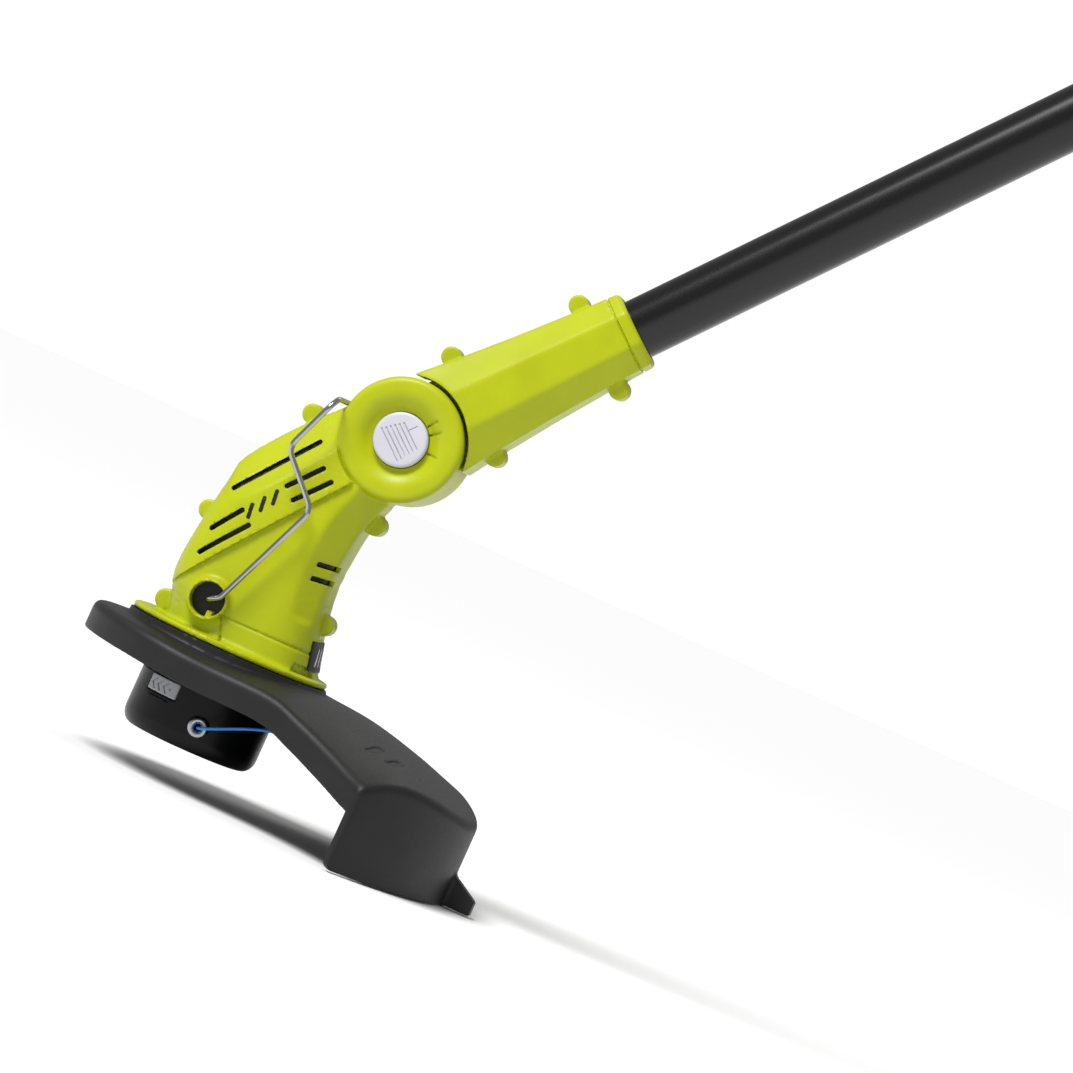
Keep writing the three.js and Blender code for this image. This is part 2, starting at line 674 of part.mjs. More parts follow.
function headCasing() {
  const flange = turned("Z", [
    [0, FLANGE_BOTTOM], [FLANGE_RADIUS, FLANGE_BOTTOM],
    [FLANGE_RADIUS, FLANGE_BOTTOM + FLANGE_THICKNESS - 0.8],
    [FLANGE_RADIUS - 1, FLANGE_BOTTOM + FLANGE_THICKNESS], [0, FLANGE_BOTTOM + FLANGE_THICKNESS],
  ], 0, 0, 24);
  const ears = [-1, 1].map((side) => rod(
    "Y", EAR_RADIUS, side * (TONGUE_HALF + GAP), side * EAR_FACE, ...PIVOT, 24,
  ));
  const wireBosses = [-1, 1].map((side) => rod(
    "Y", WIRE_BOSS_RADIUS, side * 30, side * wireBossFace, ...WIRE_BOSS, 16,
  ));
  const outside = join(
    loft(casingSections.map((s) => casingRing(s, 0))), flange, ...ears, ...wireBosses,
    ...headBosses.map(([x, z]) => shellBoss(x, z)),
  );
  const hollow = loft([
    casingRing([-36, FLANGE_BOTTOM - 2, 51, FLANGE_BOTTOM - 2, 43, 2.2], WALL, 12),
    ...casingSections.slice(1, 7).map((s) => casingRing(s, WALL, 12)),
  ]).subtract(rod("Y", EAR_RADIUS + 1, -50, 50, ...PIVOT, 24));
  const posts = guardScrews.map(([x, y]) =>
    rod("Z", 4.6, FLANGE_BOTTOM, FLANGE_BOTTOM + 11, x, y, 10));
  const inner = [-1, 1].map((side) =>
    rod("Y", WIRE_BOSS_RADIUS - 2, side * 32, side * (wireBossFloor + 1), ...WIRE_BOSS, 12));
  const shell = join(cut(outside, hollow), ...posts, ...inner);
  return cut(
    shell,
    rod("Y", TONGUE_RADIUS + 0.5, -TONGUE_HALF - GAP, TONGUE_HALF + GAP, ...PIVOT, 24),
    ...headBosses.map(([x, z]) => shellScrewHole(x, z)),
    ...sideVents.map(sideVent),
    ...[118, 110].flatMap((z) => [rearVent(z, -1), rearVent(z, 1)]),
    ...guardScrews.map(([x, y]) => guardScrewHole(x, y)),
    ...[-1, 1].flatMap((side) => [
      rod("Y", WIRE_BOSS_RADIUS - 1.8, side * wireBossFloor, side * 60, ...WIRE_BOSS, 16),
      rod("Y", WIRE_HOLE, side * 33.5, side * 60, ...WIRE_BOSS, 8),
    ]),
    // the button's dish and bore on the left, the bolt's seat on the right
    turned("Y", [
      [0, -EAR_FACE - 1], [BUTTON_RADIUS + 7.1, -EAR_FACE - 1],
      [BUTTON_RADIUS + 1.7, -EAR_FACE + 5], [0, -EAR_FACE + 5],
    ], ...PIVOT, 20),
    rod("Y", BUTTON_RADIUS + GAP, -EAR_FACE, -16, ...PIVOT, 20),
    rod("Y", COG_RADIUS + GAP, -20, 0, ...PIVOT, 14),
    rod("Y", BUTTON_RADIUS, 25.5, EAR_FACE + 1, ...PIVOT, 20),
    rod("Y", BOLT_RADIUS + GAP, 0, 28, ...PIVOT, 12),
  );
}

const casing = headCasing();
piece("head_shell_left", leftOf(casing), lime);
piece("head_shell_right", rightOf(casing), lime);
headBosses.forEach(([x, z], i) => piece(`head_screw_${i + 1}`, shellScrew(x, z), steel));

function motorCan() {
  const [low, high] = [MOTOR_BOTTOM, MOTOR_BOTTOM + MOTOR_LENGTH];
  const bore = SHAFT_RADIUS + GAP;
  return turned("Z", [
    [bore, low], [MOTOR_RADIUS, low], [MOTOR_RADIUS, high], [9, high], [9, high + 4],
    [bore, high + 4], [bore, high - 2], [MOTOR_RADIUS - 2, high - 2],
    [MOTOR_RADIUS - 2, low + 2], [bore, low + 2],
  ], 0, 0, 16);
}

function motorMount() {
  const top = MOTOR_BOTTOM - GAP;
  return turned("Z", [
    [8, top - 2.2], [31.5, top - 2.2], [31.5, top], [8, top],
  ], 0, 0, 16);
}

// The bail: two legs and a cross bar of bent wire, each end turned into its boss.
function wireGuide() {
  const leg = [
    [-8.6, WIRE_BOSS[1] + 3.5], [16.2, 140.6], [-8.1, 165.9], [4.9, 199.1],
  ];
  const [bx, bz] = WIRE_BOSS;
  const side = (s) => [
    [bx, s * 35, bz], [bx, s * WIRE_SIDE, bz],
    ...leg.map(([x, z]) => [x, s * WIRE_SIDE, z]),
  ];
  return bar(bent([...side(-1), ...side(1).reverse()], 4.4), WIRE_RADIUS, 64, 6);
}

piece("motor_can", motorCan(), steel);
piece("motor_mount", motorMount(), charcoal);
piece("wire_guide", wireGuide(), steel);

// A thin plain badge that follows the back of the casing.
function rearBadge() {
  const skin = (out) => loft(casingSections.slice(0, 3).map((s) => casingRing(s, -out)));
  const area = box([30, 70], [-BADGE_HALF, BADGE_HALF], BADGE_SPAN);
  return skin(GAP + 0.9).subtract(skin(GAP)).intersect(area);
}

// ---------------------------------------------------------------- pivot
const buttonFace = -EAR_FACE + 0.5;

function pivotButton() {
  return cut(
    join(
      rod("Y", BUTTON_RADIUS, buttonFace, buttonFace + 10, 0, 0, 24),
      rod("Y", COG_RADIUS, buttonFace + 9, -2, 0, 0, 12),
    ),
    rod("Y", BOLT_RADIUS + GAP, -12, 0, 0, 0, 14),
  );
}

function pivotBolt() {
  return turned("Y", [
    [0, -7], [BOLT_RADIUS - 0.8, -7], [BOLT_RADIUS, -6], [BOLT_RADIUS, 25.5 + GAP],
    [BUTTON_RADIUS - 0.5, 25.5 + GAP], [BUTTON_RADIUS - 0.5, 28.5], [BUTTON_RADIUS - 2, 29.6],
    [0, 29.6],
  ], 0, 0, 18);
}

piece("pivot_button", pivotButton(), paleGrey, shaft);
piece("pivot_bolt", pivotBolt(), steel, shaft);
piece("button_spring", spring("Y", 8, 0.7, -1.6, TONGUE_HALF, 3), steel, shaft);

// ---------------------------------------------------------------- collar on the shaft
// An eight-sided ring with softened corners, across the shaft at x.
function collarRing(x, halfY, halfZ, chamfer, inset = 0) {
  const [y, z, c] = [halfY - inset, halfZ - inset, chamfer];
  const corners = [[y, c - z], [y, z - c], [y - c, z], [c - y, z], [-y, z - c], [-y, c - z],
    [c - y, -z], [y - c, -z]];
  return corners.map(([a, b]) => [x, a, b]);
}

// x, then beyond the tube: half width and half height, then the chamfer
const collarSections = [
  [12, 14, 13.6, 13], [40, 12, 10, 12], [75, 9.5, 7.4, 11], [110, 7.6, 5.2, 10],
  [128, 6.8, 4.8, 9.5], [COLLAR_END, 4.6, 2.8, 8.6],
].map(([x, y, z, c]) => [x, TUBE_RADIUS + y, TUBE_RADIUS + z, c]);
const collarBosses = [
  [41, TUBE_RADIUS + 13.4], [112.6, TUBE_RADIUS + 8.4],
  [39, -TUBE_RADIUS - 11.6], [112.3, -TUBE_RADIUS - 8.4],
];

function collar() {
  const body = loft(collarSections.map(([x, y, z, c]) => collarRing(x, y, z, c)));
  const concave = rod("Y", EAR_RADIUS + 1.8, -40, 40, 0, 0, 28);
  const tongue = join(
    rod("Y", TONGUE_RADIUS, -TONGUE_HALF, TONGUE_HALF, 0, 0, 24),
    box([0, 46], [-TONGUE_HALF, TONGUE_HALF], [-22, 22]),
  );
  const hollow = cut(
    loft([[42, TUBE_RADIUS + 11.8, TUBE_RADIUS + 9.8, 12], ...collarSections.slice(2, 5)]
      .map(([x, y, z, c]) => collarRing(x, y, z, c, WALL))),
    box([84, 89], [-40, 40], [-40, 40]),
    box([0, TUBE_START], [-TONGUE_HALF, TONGUE_HALF], [-40, 40]),
  );
  return cut(
    join(cut(body, concave, hollow), tongue, ...collarBosses.map(([x, z]) => shellBoss(x, z))),
    rod("X", TUBE_RADIUS + GAP, TUBE_START - GAP, COLLAR_END + 5, 0, 0, 20),
    rod("Y", COG_RADIUS + GAP, -20, 20, 0, 0, 14),
    ...collarBosses.map(([x, z]) => shellScrewHole(x, z)),
  );
}

const collarBody = collar();
piece("collar_shell_left", leftOf(collarBody), lime, shaft);
piece("collar_shell_right", rightOf(collarBody), lime, shaft);
collarBosses.forEach(([x, z], i) =>
  piece(`collar_screw_${i + 1}`, shellScrew(x, z), steel, shaft));

// ---------------------------------------------------------------- telescoping tubes
function tube(radius, wall, from, to) {
  return turned("X", [
    [radius - wall, from], [radius, from], [radius, to], [radius - wall, to],
  ], 0, 0, 24);
}

piece("lower_tube", tube(TUBE_RADIUS, TUBE_WALL, TUBE_START, TUBE_END), tubeBlack, shaft);
piece("upper_tube", tube(UPPER_RADIUS, TUBE_WALL, UPPER_START, UPPER_END), steel, shaft);

const clampPinAt = [CLAMP_START + 40, -TUBE_RADIUS - 11]; // x, z
const LUG_INSIDE = 5;
const LUG_OUTSIDE = 9.5;

function clampBody() {
  const sleeve = turned("X", [
    [TUBE_RADIUS + GAP, CLAMP_START], [TUBE_RADIUS + 4, CLAMP_START],
    [TUBE_RADIUS + 6, CLAMP_START + 6], [TUBE_RADIUS + 6, CLAMP_END - 8],
    [UPPER_RADIUS + 4.3, CLAMP_END], [UPPER_RADIUS + GAP, CLAMP_END],
    [UPPER_RADIUS + GAP, TUBE_END + GAP], [TUBE_RADIUS + GAP, TUBE_END + GAP],
  ], 0, 0, 20);
  const lugs = [-1, 1].map((s) => {
    const y = [s * LUG_INSIDE, s * LUG_OUTSIDE].sort((a, b) => a - b);
    return join(
      box([clampPinAt[0] - 6, clampPinAt[0] + 6], y, [clampPinAt[1], -TUBE_RADIUS - 2]),
      rod("Y", 6, y[0], y[1], ...clampPinAt, 14),
    );
  });
  return cut(join(sleeve, ...lugs), rod("Y", 2 + GAP, -20, 20, ...clampPinAt, 8));
}

const LEVER_LENGTH = 44;
function clampLever() {
  const [px, pz] = clampPinAt;
  const eye = rod("Y", 5, -LUG_INSIDE + GAP, LUG_INSIDE - GAP, px, pz, 20);
  const arm = box([px - LEVER_LENGTH, px], [-4.4, 4.4], [pz - 5, pz - 0.6]);
  const pad = box([px - LEVER_LENGTH, px - 14], [-9, 9], [pz - 5, pz - 1.2]);
  return cut(join(eye, arm, pad), rod("Y", 2 + GAP, -20, 20, px, pz, 12));
}

piece("clamp_collar", clampBody(), black, shaft);
piece("clamp_lever", clampLever(), lime, shaft);
piece("clamp_pin", rod("Y", 2, -LUG_OUTSIDE, LUG_OUTSIDE, ...clampPinAt, 12), steel, shaft);

// ---------------------------------------------------------------- front handle
const AUX_BOLT = 3.2;
const auxPivot = [AUX_AT, AUX_PIVOT_HEIGHT];
const auxRing = UPPER_RADIUS + 6.3;

function auxBracket() {
  const ring = turned("X", [
    [UPPER_RADIUS + GAP, AUX_AT - 17], [auxRing - 1.5, AUX_AT - 17], [auxRing, AUX_AT - 14],
    [auxRing, AUX_AT + 14], [auxRing - 1.5, AUX_AT + 17], [UPPER_RADIUS + GAP, AUX_AT + 17],
  ], 0, 0, 20);
  const lug = join(
    box([AUX_AT - 10, AUX_AT + 10], [-8, 8], [UPPER_RADIUS + 1.8, AUX_PIVOT_HEIGHT]),
    rod("Y", 10, -8, 8, ...auxPivot, 24),
  );
  return cut(join(ring, lug), rod("Y", AUX_BOLT + GAP, -20, 20, ...auxPivot, 16),
    rod("X", UPPER_RADIUS + GAP, AUX_AT - 30, AUX_AT + 30, 0, 0, 20));
}

// Half the loop, from the right-hand eye to the top of the grip: y, height above the bolt.
const loopHalf = [[13.2, 20], [16, 31], [31, 42], [51, 60], [58, 86], [48, 110], [24, 121]];

function auxHandle() {
  const z = AUX_PIVOT_HEIGHT;
  const right = loopHalf.map(([y, up]) => [AUX_AT, y, z + up]);
  const left = loopHalf.map(([y, up]) => [AUX_AT, -y, z + up]).reverse();
  const eyes = [-1, 1].map((s) => rod("Y", 11, s * (8 + GAP), s * 18, ...auxPivot, 16));
  const necks = [-1, 1].map((s) => {
    const y = [s * (8 + GAP), s * 18].sort((a, b) => a - b);
    return box([AUX_AT - 9, AUX_AT + 9], y, [z, z + 22]);
  });
  return cut(
    join(bar(smooth([...right, ...left]), 9, 22, 8), ...eyes, ...necks),
    rod("Y", AUX_BOLT + GAP, -40, 40, ...auxPivot, 16),
  );
}

function auxKnob() {
  const core = turned("Y", [
    [AUX_BOLT + GAP, 18 + GAP], [9, 18 + GAP], [9, 22], [12, 23], [12, 31], [10, 33],
    [AUX_BOLT + GAP, 33],
  ], ...auxPivot, 15);
  const lobes = [];
  for (let i = 0; i < 5; i++) {
    const a = i * 72 * DEG;
    lobes.push(rod("Y", 4, 23, 31, auxPivot[0] + 12 * Math.cos(a),
      auxPivot[1] + 12 * Math.sin(a), 8));
  }
  return join(core, ...lobes);
}

function auxBolt() {
  return turned("Y", [
    [0, -21.5], [6, -21.5], [6.5, -20.5], [6.5, -18 - GAP], [AUX_BOLT, -18 - GAP],
    [AUX_BOLT, 31], [0, 32],
  ], ...auxPivot, 16);
}

piece("front_handle_bracket", auxBracket(), black, shaft);
piece("front_handle", auxHandle(), black, shaft);
piece("front_handle_knob", auxKnob(), lime, shaft);
piece("front_handle_bolt", auxBolt(), steel, shaft);

// ---------------------------------------------------------------- rear handle
// x, half width, half height, height of the middle, squareness
const handleSections = [
  [HANDLE_START, UPPER_RADIUS + 5.8, UPPER_RADIUS + 5.8, 0, 2.2],
  [HANDLE_START + 38, UPPER_RADIUS + 7.3, UPPER_RADIUS + 7.8, 0, 2.3],
  [HANDLE_START + 64, UPPER_RADIUS + 5.8, 23, 1, 2.4], [HANDLE_START + 98, 18.5, 21.5, 2, 2.4],
  [DOCK - 105, 18.5, 21.5, 2, 2.4], [DOCK - 75, 22, 26, 0, 2.6], [DOCK - 47, 34, 36, -3, 3],
  [DOCK - 20, 39, 41, -5, 3.4], [DOCK, 40, 42, -5, 3.6],
];

function handleRing([x, halfY, halfZ, middle, power], inset, points = 16) {
  const ring = [];
  for (let i = 0; i < points; i++) {
    const t = (i / points) * 2 * Math.PI;
    const [c, s] = [Math.cos(t), Math.sin(t)];
    ring.push([
      x,
      (halfY - inset) * Math.sign(c) * Math.abs(c) ** (2 / power),
      middle + (halfZ - inset) * Math.sign(s) * Math.abs(s) ** (2 / power),
    ]);
  }
  return ring;
}

const handleBosses = [[HANDLE_START + 62, 15], [DOCK - 91, -16], [DOCK - 23, -36]];
const TRIGGER_SLOT = [HANDLE_START + 72, HANDLE_START + 122];
const TRIGGER_HALF = 7;
const triggerPin = [TRIGGER_SLOT[0] + 6, -14.5];
const TRUNNION = 11; // half the length of the trigger's cross pin
const LOCK_SLOT = [TRIGGER_SLOT[0] + 2, TRIGGER_SLOT[0] + 36];
const LOCK_HALF = 7;
const STEM_HALF = [18, 22]; // battery stem, half width and half height
const STEM_LENGTH = 46;

function handleInner(from, to) {
  return handleSections.filter(([x]) => x > from && x < to);
}

function handleBody() {
  const outside = loft(handleSections.map((s) => handleRing(s, 0)));
  const hollow = cut(
    loft([
      ...handleInner(HANDLE_START + 30, DOCK - 1), [DOCK - 3, 40, 42, -5, 3.6],
    ].map((s) => handleRing(s, WALL, 12))),
    box([UPPER_END + 1, UPPER_END + 5], [-50, 50], [-50, 50]),
    ...handleBosses.map(([x, z]) => rod("Y", BOSS_RADIUS, -60, 60, x, z, 16)),
    box([triggerPin[0] - 4, triggerPin[0] + 4], [TRIGGER_HALF + GAP, 50], [-30, -8]),
    box([triggerPin[0] - 4, triggerPin[0] + 4], [-50, -TRIGGER_HALF - GAP], [-30, -8]),
  );
  return cut(
    cut(outside, hollow),
    rod("X", UPPER_RADIUS + GAP, HANDLE_START - 5, UPPER_END + GAP, 0, 0, 20),
    box(TRIGGER_SLOT, [-TRIGGER_HALF - GAP, TRIGGER_HALF + GAP], [-40, -8]),
    box(LOCK_SLOT, [-LOCK_HALF - GAP, LOCK_HALF + GAP], [15, 40]),
    rod("Y", 2 + GAP, -TRUNNION - GAP, TRUNNION + GAP, ...triggerPin, 10),
    box([DOCK - 30, DOCK + 5], [-STEM_HALF[0] - 0.6, STEM_HALF[0] + 0.6],
      [-5 - STEM_HALF[1] - 0.6, -5 + STEM_HALF[1] + 0.6]),
    ...handleBosses.map(([x, z]) => shellScrewHole(x, z)),
  );
}

const handle = handleBody();
piece("rear_shell_left", leftOf(handle), lime, shaft);
piece("rear_shell_right", rightOf(handle), lime, shaft);
handleBosses.forEach(([x, z], i) =>
  piece(`rear_screw_${i + 1}`, shellScrew(x, z), steel, shaft));

function trigger() {
  const shape = new THREE.Shape();
  shape.moveTo(TRIGGER_SLOT[0] + 1, -12);
  shape.lineTo(TRIGGER_SLOT[0] + 1, -21);
  shape.quadraticCurveTo(TRIGGER_SLOT[0] + 14, -26, TRIGGER_SLOT[0] + 26, -28.5);
  shape.quadraticCurveTo(TRIGGER_SLOT[1] - 8, -30, TRIGGER_SLOT[1] - 6, -34);
  shape.lineTo(TRIGGER_SLOT[1] - 3.5, -33);
  shape.lineTo(TRIGGER_SLOT[1] - 4.5, -17);
  shape.lineTo(TRIGGER_SLOT[0] + 16, -12);
  const g = new THREE.ExtrudeGeometry(shape, {
    depth: 2 * TRIGGER_HALF, bevelEnabled: false, curveSegments: 6,
  });
  const lever = solid(g.rotateX(Math.PI / 2).translate(0, TRIGGER_HALF, 0));
  return lever.add(rod("Y", 2, -TRUNNION, TRUNNION, ...triggerPin, 10));
}

function lockOff() {
  return join(
    box([LOCK_SLOT[0] + 5, LOCK_SLOT[1] + 1], [-LOCK_HALF - 1.5, LOCK_HALF + 1.5], [15.5, 18.2]),
    box([LOCK_SLOT[0] + 7, LOCK_SLOT[1] - 1], [-LOCK_HALF, LOCK_HALF], [17, 25.5]),
    box([LOCK_SLOT[0] + 12, LOCK_SLOT[0] + 14.5], [-LOCK_HALF, LOCK_HALF], [25, 27.5]),
    box([LOCK_SLOT[0] + 18, LOCK_SLOT[0] + 20.5], [-LOCK_HALF, LOCK_HALF], [25, 27.5]),
    box([LOCK_SLOT[0] + 24, LOCK_SLOT[0] + 26.5], [-LOCK_HALF, LOCK_HALF], [25, 27.5]),
  );
}

piece("trigger", trigger(), black, shaft);
piece("lock_off_button", lockOff(), black, shaft);
const switchAt = [TRIGGER_SLOT[0] + 28, TRIGGER_SLOT[0] + 64];
piece("switch_module", box(switchAt, [-8, 8], [-4, 12]), charcoal, shaft);
piece("trigger_spring",
  spring("Z", 2.6, 0.45, -14.2, -4.3, 3, TRIGGER_SLOT[1] - 16, 0), steel, shaft);

// ---------------------------------------------------------------- battery
const PACK_START = DOCK + GAP;
const PACK_END = DOCK + 62;
const PACK_LATCH_Z = 12;

function batteryCase() {
  const sections = [
    [PACK_START, 39, 41, -5, 3.6], [PACK_START + 8, 39.5, 42, -5, 3.8],
    [PACK_END - 10, 39.5, 42, -5, 3.8], [PACK_END - 2, 37, 39.5, -5, 3.4],
    [PACK_END, 34, 36, -5, 3.2],
  ];
  const stem = box([PACK_START - STEM_LENGTH, PACK_START + 2],
    [-STEM_HALF[0], STEM_HALF[0]], [-5 - STEM_HALF[1], -5 + STEM_HALF[1]]);
  const seats = [-1, 1].map((s) => {
    const y = [s * 34.5, s * 60].sort((a, b) => a - b);
    return box([PACK_START + 12, PACK_START + 32], y, [-PACK_LATCH_Z - 5, PACK_LATCH_Z - 5]);
  });
  return cut(join(loft(sections.map((s) => handleRing(s, 0))), stem), ...seats);
}

function batteryLatch(side) {
  const y = [side * 37.5, side * 41].sort((a, b) => a - b);
  const z = PACK_LATCH_Z - GAP;
  return box([PACK_START + 12 + GAP, PACK_START + 32 - GAP], y, [-z - 5, z - 5]);
}

piece("battery", batteryCase(), charcoal, shaft);
piece("battery_latch_left", batteryLatch(-1), lime, shaft);
piece("battery_latch_right", batteryLatch(1), lime, shaft);
piece("rear_badge", rearBadge(), black);

export default trimmer;
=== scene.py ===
# %% [markdown]
# # A cordless string trimmer
# The CAD model of the trimmer is already packed: its bodies, joints and sizes are fixed. This
# lesson dresses it. Each moulded piece is made again with its fillets, slots and ribs, each
# finish is built from shader nodes, and every piece is tied to the CAD body it moves with.
# %% Load the fixed frame
import json
import math
import bmesh
import bpy
import numpy as np
from mathutils import Matrix, Vector


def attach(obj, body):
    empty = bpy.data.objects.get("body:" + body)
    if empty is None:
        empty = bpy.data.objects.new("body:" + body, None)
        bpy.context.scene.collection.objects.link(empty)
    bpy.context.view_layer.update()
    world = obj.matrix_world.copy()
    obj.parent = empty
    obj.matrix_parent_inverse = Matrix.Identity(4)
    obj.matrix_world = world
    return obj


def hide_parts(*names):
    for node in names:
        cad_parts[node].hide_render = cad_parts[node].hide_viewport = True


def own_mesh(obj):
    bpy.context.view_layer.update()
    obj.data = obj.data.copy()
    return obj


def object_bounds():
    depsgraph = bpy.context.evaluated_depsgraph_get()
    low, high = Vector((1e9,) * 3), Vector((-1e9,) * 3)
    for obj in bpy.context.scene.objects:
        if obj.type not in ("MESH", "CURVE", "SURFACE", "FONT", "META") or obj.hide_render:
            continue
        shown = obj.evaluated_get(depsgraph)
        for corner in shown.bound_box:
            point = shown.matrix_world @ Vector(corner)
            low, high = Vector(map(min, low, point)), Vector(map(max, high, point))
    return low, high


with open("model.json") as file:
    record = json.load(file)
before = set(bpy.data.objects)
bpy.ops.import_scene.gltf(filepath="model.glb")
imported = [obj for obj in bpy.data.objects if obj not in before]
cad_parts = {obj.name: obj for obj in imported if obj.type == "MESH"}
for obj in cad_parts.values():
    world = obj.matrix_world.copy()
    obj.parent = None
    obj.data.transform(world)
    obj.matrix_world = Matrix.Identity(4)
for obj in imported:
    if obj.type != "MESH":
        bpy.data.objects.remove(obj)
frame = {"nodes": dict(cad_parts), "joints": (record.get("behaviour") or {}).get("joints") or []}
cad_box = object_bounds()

MM = 0.001

# %% [markdown]
# Two coordinate systems are used. The row's own frame stands on the spool: Z is the spin axis,
# +X points back to the user. The shaft's frame starts at the pivot and its X runs up the tube,
# so a collar or a handle can be drawn straight and then laid along the shaft by one matrix.
# Both the pivot and the direction of the shaft are read from the joints.
# %% The shaft's frame
joints = {j["name"]: j for j in frame["joints"]}
pivot = Vector(joints["head_pivot"]["pos_m"]) / MM
shaft_way = Vector(joints["shaft_slide"]["axis"]).normalized()
SHAFT_ANGLE = math.atan2(shaft_way.z, shaft_way.x)
across = Vector((0, 1, 0))
shaft_up = shaft_way.cross(across)
TO_ROW = Matrix.Identity(4)
TO_SHAFT = Matrix.Translation(pivot * MM) @ Matrix((
    (shaft_way.x, 0, shaft_up.x, 0), (0, 1, 0, 0), (shaft_way.z, 0, shaft_up.z, 0), (0, 0, 0, 1),
))
print("the shaft rises at", round(math.degrees(SHAFT_ANGLE), 1), "degrees")


def node_box(name, matrix=TO_ROW):
    """Lowest and highest corner of a CAD node in mm, along the axes of the given frame."""
    inverse = matrix.inverted()
    points = np.array([inverse @ v.co for v in frame["nodes"][name].data.vertices]) / MM
    return points.min(0), points.max(0)


# %% [markdown]
# The camera comes first, because it decides what has to be drawn finely. A long lens far away
# keeps the parallel look of a catalogue picture. The view is rolled, so the shaft leans less than
# it really does. The camera aims at a point measured from the near face of the pivot's ear.
# Lengths in this cell are in metres, except EAR_FACE, which is in mm like all the pieces below.
# %% Camera
AZIMUTH, ELEVATION, ROLL = (math.radians(a) for a in (5.6, 0.55, 24.25))
VIEW_WIDTH = 0.5556
DISTANCE = 3.0
AIM_RIGHT, AIM_UP = 0.0707, -0.0502
EAR_FACE = 31

level_right = Vector((math.cos(AZIMUTH), math.sin(AZIMUTH), 0))
back = Vector((math.sin(AZIMUTH) * math.cos(ELEVATION), -math.cos(AZIMUTH) * math.cos(ELEVATION),
               math.sin(ELEVATION)))
level_up = back.cross(level_right)
view_right = math.cos(ROLL) * level_right + math.sin(ROLL) * level_up
view_up = back.cross(view_right)
near_face = Vector((pivot.x, -EAR_FACE, pivot.z)) * MM
aim = near_face + AIM_RIGHT * view_right + AIM_UP * view_up

camera_data = bpy.data.cameras.new("camera")
camera_data.sensor_width = 36
camera_data.lens = camera_data.sensor_width * DISTANCE / VIEW_WIDTH
camera_data.clip_start, camera_data.clip_end = 0.1, 40
camera = bpy.data.objects.new("camera", camera_data)
camera.matrix_world = Matrix.Translation(aim + back * DISTANCE) @ Matrix((
    view_right, view_up, back)).transposed().to_4x4()
bpy.context.scene.collection.objects.link(camera)
bpy.context.scene.camera = camera
print("lens", round(camera_data.lens), "mm at", DISTANCE, "m")

# %% [markdown]
# ## Finishes
# A finish is a small node tree. Every tree reads Object coordinates, so its grain keeps its real
# size on every piece: 0.4 mm spark-eroded texture on the casings, the same but almost without
# depth on the painted tube. Slow noise shifts the tone of large areas. Image textures could do
# this too, but they need a UV map on every piece and blur when the camera comes near.
# %% Node helpers
def linear(r, g, b):
    """An sRGB colour, 0 to 255, as the linear RGBA that shaders use."""
    def one(c):
        c /= 255
        return c / 12.92 if c < 0.04045 else ((c + 0.055) / 1.055) ** 2.4
    return one(r), one(g), one(b), 1


def node(tree, kind, **values):
    made = tree.nodes.new(kind)
    for key, value in values.items():
        if key in made.inputs:
            made.inputs[key].default_value = value
        else:
            setattr(made, key, value)
    return made


def noise(tree, size, detail=2.0, stretch=(1, 1, 1)):
    """Noise with features of about the given size in metres, in the piece's own coordinates."""
    place = node(tree, "ShaderNodeTexCoord")
    scale = node(tree, "ShaderNodeMapping")
    scale.inputs["Scale"].default_value = stretch
    made = node(tree, "ShaderNodeTexNoise", Scale=1 / size, Detail=detail)
    tree.links.new(place.outputs["Object"], scale.inputs["Vector"])
    tree.links.new(scale.outputs["Vector"], made.inputs["Vector"])
    return made.outputs["Fac"]


def between(tree, factor, low, high, a, b):
    """Maps factor from low..high to a..b."""
    made = node(tree, "ShaderNodeMapRange")
    for key, value in zip(("From Min", "From Max", "To Min", "To Max"), (low, high, a, b)):
        made.inputs[key].default_value = value
    tree.links.new(factor, made.inputs["Value"])
    return made.outputs["Result"]


def tones(tree, factor, *stops):
    made = node(tree, "ShaderNodeValToRGB")
    ramp = made.color_ramp
    ramp.elements[0].position, ramp.elements[0].color = stops[0]
    ramp.elements[1].position, ramp.elements[1].color = stops[-1]
    for position, colour in stops[1:-1]:
        ramp.elements.new(position).color = colour
    tree.links.new(factor, made.inputs["Fac"])
    return made.outputs["Color"]


# %% [markdown]
# One recipe serves every moulded, painted or metal surface. Broad noise moves the colour between
# a darker and a lighter tone, and fine noise drives both roughness and bump, so a glint breaks up
# where the surface is rough. Numbers that are the same everywhere are set straight on the shader,
# where an exporter can find them.
# %% One recipe for moulded and painted surfaces
COAT_ROUGHNESS, BUMP_STRENGTH, ROUGHNESS_SWING = 0.12, 0.35, 0.06


def finish(name, dark, light, rough, grain=0.0004, depth=0.00004, metallic=0.0, coat=0.0,
           stretch=(1, 1, 1), mottle=0.03, shine=0.4):
    material = bpy.data.materials.new(name)
    material.use_nodes = True
    tree = material.node_tree
    shader = tree.nodes["Principled BSDF"]
    shader.inputs["Metallic"].default_value = metallic
    shader.inputs["Specular IOR Level"].default_value = shine
    if coat:
        shader.inputs["Coat Weight"].default_value = coat
        shader.inputs["Coat Roughness"].default_value = COAT_ROUGHNESS
    fine = noise(tree, grain, 3.0, stretch)
    broad = noise(tree, mottle, 4.0)
    colour = tones(tree, broad, (0.3, dark), (0.7, light))
    tree.links.new(colour, shader.inputs["Base Color"])
    tree.links.new(between(tree, fine, 0.3, 0.7, rough - ROUGHNESS_SWING, rough + ROUGHNESS_SWING),
                   shader.inputs["Roughness"])
    bump = node(tree, "ShaderNodeBump", Strength=BUMP_STRENGTH, Distance=depth)
    tree.links.new(fine, bump.inputs["Height"])
    tree.links.new(bump.outputs["Normal"], shader.inputs["Normal"])
    return material


